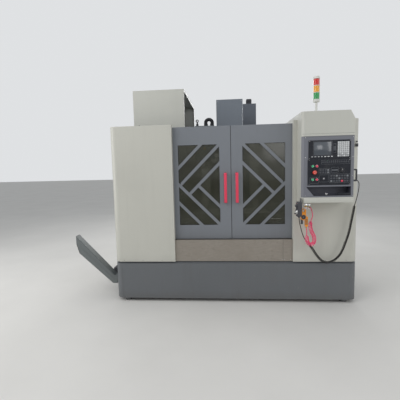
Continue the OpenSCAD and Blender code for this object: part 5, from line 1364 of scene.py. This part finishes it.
@dataclass
class Machine:
    """Column, head, slides and their small parts inside the cabin."""

    nose: Point = (0.0, -300.0, 1570.0)

    def head(self) -> None:
        """Covers, junction boxes, coolant nozzles and screws of the head."""
        soften("spindle_cover", COVER_GREY, 2.0, Body.HEAD)
        soften("head_casting", CASTING, 3.0, Body.HEAD)
        boxes = Shape().box((-246, -400, 1588), (-148, -330, 1640), 4.0, 3)
        boxes.box((-246, -400, 1648), (-148, -330, 1706), 4.0, 3)
        boxes.screws(product((-232, -162), (-400,), (1596, 1632, 1656, 1698)), FRONT, 3.0, slot=1)
        boxes.piece("junction_boxes", (WHITE, CHROME, BLACK), Body.HEAD)
        tubes, nozzles = Shape(), Shape()
        for x in (-222, -196, -172):
            tubes.rod((x, -365, 1706), (x, -365, 1760), 7.0, sides=16)
            tubes.rod((x, -365, 1706), (x, -365, 1718), 11.0, 11.0, 6, 0.8, slot=1)
        tubes.piece("junction_conduits", (SEAL, BLACK), Body.HEAD)
        middle = Vector(self.nose)
        for k in range(4):
            out = polar("xy", math.radians(45 + 90 * k))
            spot = middle + out * 101 + Vector((0, 0, 6))
            nozzles.rod(spot, spot - out * 20 - Vector((0, 0, 62)), 8.5, 5.0, 24, 0.6)
            nozzles.rod(spot + Vector((0, 0, 22)), spot, 11.0, 11.0, 24, 1.0, slot=1)
        nozzles.piece("coolant_nozzles", (BRASS, BLACK), Body.HEAD)
        spots = [middle + polar("xy", math.tau * (k + 0.5) / 6, 56) for k in range(6)]
        Shape().screws(spots, DOWN, 4.5).bolts("nose_screws", Body.HEAD)
        spots = product((-150, 150), (-460,), (2000, 2180, 2360))
        Shape().screws(spots, FRONT, 4.2).bolts("motor_cover_screws", Body.HEAD)

    def slides(self) -> None:
        """Table, saddle and castings, with the table's guards and the drive's details."""
        soften("table", GROUND, 1.2, Body.TABLE)
        soften("saddle", CASTING, 2.5, Body.SADDLE)
        soften("x_motor", BLACK, 2.0, Body.SADDLE)
        soften("column_casting", CASTING, 3.0)
        soften("bed_casting", CASTING, 3.0)
        soften("z_drive_cover", DRIVE_GREY, 2.0)
        soften("axis_motors", BLACK, 2.0)
        guards, fins = Shape(), Shape()
        for s, y in product((-1, 1), range(-480, -119, 90)):
            guards.box((s * 500.2, y - 14, 896), (s * 503.0, y + 14, 909), 0.8)
        guards.piece("table_slot_guards", BLACK, Body.TABLE)
        screws = Shape().screws(product((250, 370), (320,), (2130, 2430)), FRONT, 4.2)
        screws.screws(product((407,), (340,), (2150, 2280, 2420)), RIGHT, 4.2)
        screws.bolts("drive_cover_screws")
        for z in range(2486, 2540, 6):
            fins.box((266.6, 399.8, z), (347.4, 480.2, z + 2.4), 0.6)
        fins.piece("z_motor_fins", BLACK)

    def work_lamp(self) -> None:
        """Lamp strip below the upper door beam."""
        lamp = Shape().box((-430, -1022, 1872), (430, -990, 1899.7), 4.0, 3)
        lamp.box((-418, -1018, 1869), (418, -994, 1873), 2.0, 2, slot=1)
        for x in (-424, 424):
            lamp.box((x - 8, -1024, 1868), (x + 8, -988, 1900), 3.0, 3, slot=2)
        lamp.piece("work_lamp", (CHROME, LENS_WHITE, BLACK))

    def build(self) -> None:
        """Builds the machine."""
        self.head()
        self.slides()
        self.work_lamp()


@dataclass
class Rear:
    """Electrical cabinet, air unit and lubrication pump behind the cabin."""

    door_y: float = 1205.3

    def cabinet(self) -> None:
        """Fans and main switch of the cabinet, held inside the door's own depth."""
        soften("electrical_cabinet", HOOD_CREAM, 1.5)
        soften("cabinet_door", HOOD_CREAM, 1.5, Body.REAR_DOOR)
        y = self.door_y
        _, high = (Vector(v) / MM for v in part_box("cabinet_door"))
        fans, face = Shape(), min(y + 8, high.y)
        for x in (-200, 200):
            fans.box((x - 78, y - 0.6, 1560), (x + 78, face, 1716), 3.0)
            for k in range(6):
                fans.ring((x, face - 0.6, 1638), REAR, 12.0 + 11 * k, 1.4)
        fans.piece("cabinet_fans", BLACK, Body.REAR_DOOR)
        switch = Shape().box((330, y - 0.6, 1290), (410, min(y + 4, high.y), 1370), 2.0, slot=1)
        switch.rod((370, y + 2, 1330), (370, min(y + 14, high.y), 1330), 24.0, 22.0, 32, 1.5)
        switch.box((364, y + 6, 1304), (376, min(y + 26, high.y), 1356), 3.0)
        switch.piece("main_switch", (RED, BLACK), Body.REAR_DOOR)

    def air(self) -> None:
        """Filter, regulator and oiler on the rear wall of the cabin."""
        unit = Shape()
        for x, slot in ((1000, 0), (1074, 1), (1148, 1)):
            unit.box((x, 450, 1180), (x + 62, 512, 1262), 6.0, 3)
            unit.lathe([(0, -92), (20, -92), (26, -84), (27, 0), (0, 0)], (x + 31, 482, 1180), UP,
                       32, slot)
        unit.rod((1105, 482, 1262), (1105, 482, 1296), 20.0, 18.0, 32, 2.0)
        unit.lathe([(24, 0), (24, 12), (22, 14), (0, 14)], (1105, 511, 1222), REAR, 32, 2)
        for x in (1062, 1136):
            unit.box((x, 470, 1206), (x + 12, 496, 1236), 1.5, slot=2)
        unit.piece("air_unit", (BLACK, LAMP_AMBER, CHROME))

    def oiler(self) -> None:
        """Way oil pump with its clear tank."""
        pump = Shape().box((-1230, 450, 1000), (-1010, 575, 1160), 8.0, 3, slot=1)
        pump.box((-1234, 449.5, 1160), (-1006, 579, 1190), 5.0)
        pump.rod((-1190, 520, 1190), (-1190, 520, 1212), 22.0, 20.0, 32, 2.0)
        pump.box((-1110, 470, 1190), (-1030, 556, 1290), 6.0, 3)
        pump.rod((-1150, 556, 1176), (-1150, 596, 1176), 5.0, sides=16, slot=2)
        pump.piece("way_oil_pump", (BLACK, OIL_TANK, BRASS))

    def build(self) -> None:
        """Builds the rear."""
        self.cabinet()
        self.air()
        self.oiler()


def dress(finishes: Dict[Finish, Iterable[str]]) -> None:
    """Gives the CAD nodes that stay as they are their finishes."""
    for finish, nodes in finishes.items():
        for node in nodes:
            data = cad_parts[node].data
            data.materials.clear()
            data.materials.append(finish.build())


def main() -> None:
    """Builds the studio, the cords and every sub-assembly."""
    logging.basicConfig(level=logging.INFO, format="%(message)s")
    Studio().camera()
    PENDANT_LEAD.build("pendant_cord")
    AIR_LEAD.build("air_hose")
    Studio().build()
    dress({TANK_GREY: ["levelling_feet"], CASTING: ["magazine_frame"], ESTOP_RED: ["estop_button"],
           COVER_STEEL: ["fixed_way_covers", "saddle_way_covers", "y_front_cover_mid",
                         "y_rear_cover_mid", "z_cover_mid", "head_way_cover"],
           BLACK: ["pendant_axis_knob", "override_knob"],
           RED: ["feed_hold_button", "power_off_button"],
           GREEN: ["cycle_start_button", "power_on_button"],
           WINDOW_PAINTED_SHADE: ["door_left_window", "door_right_window"],
           GROUND: ["magazine_disc", "guide_rails", "x_screw", "y_screw", "z_screw", "spindle",
                    "change_arm", "chip_screw", "door_tracks"]})
    for part in (Doors, Cabin, Lift, Station, SignalLamp, Pendant, AirGun, ToolChanger, Machine,
                 Rear):
        part().build()
    bpy.context.view_layer.update()


if __name__ == "__main__":
    main()
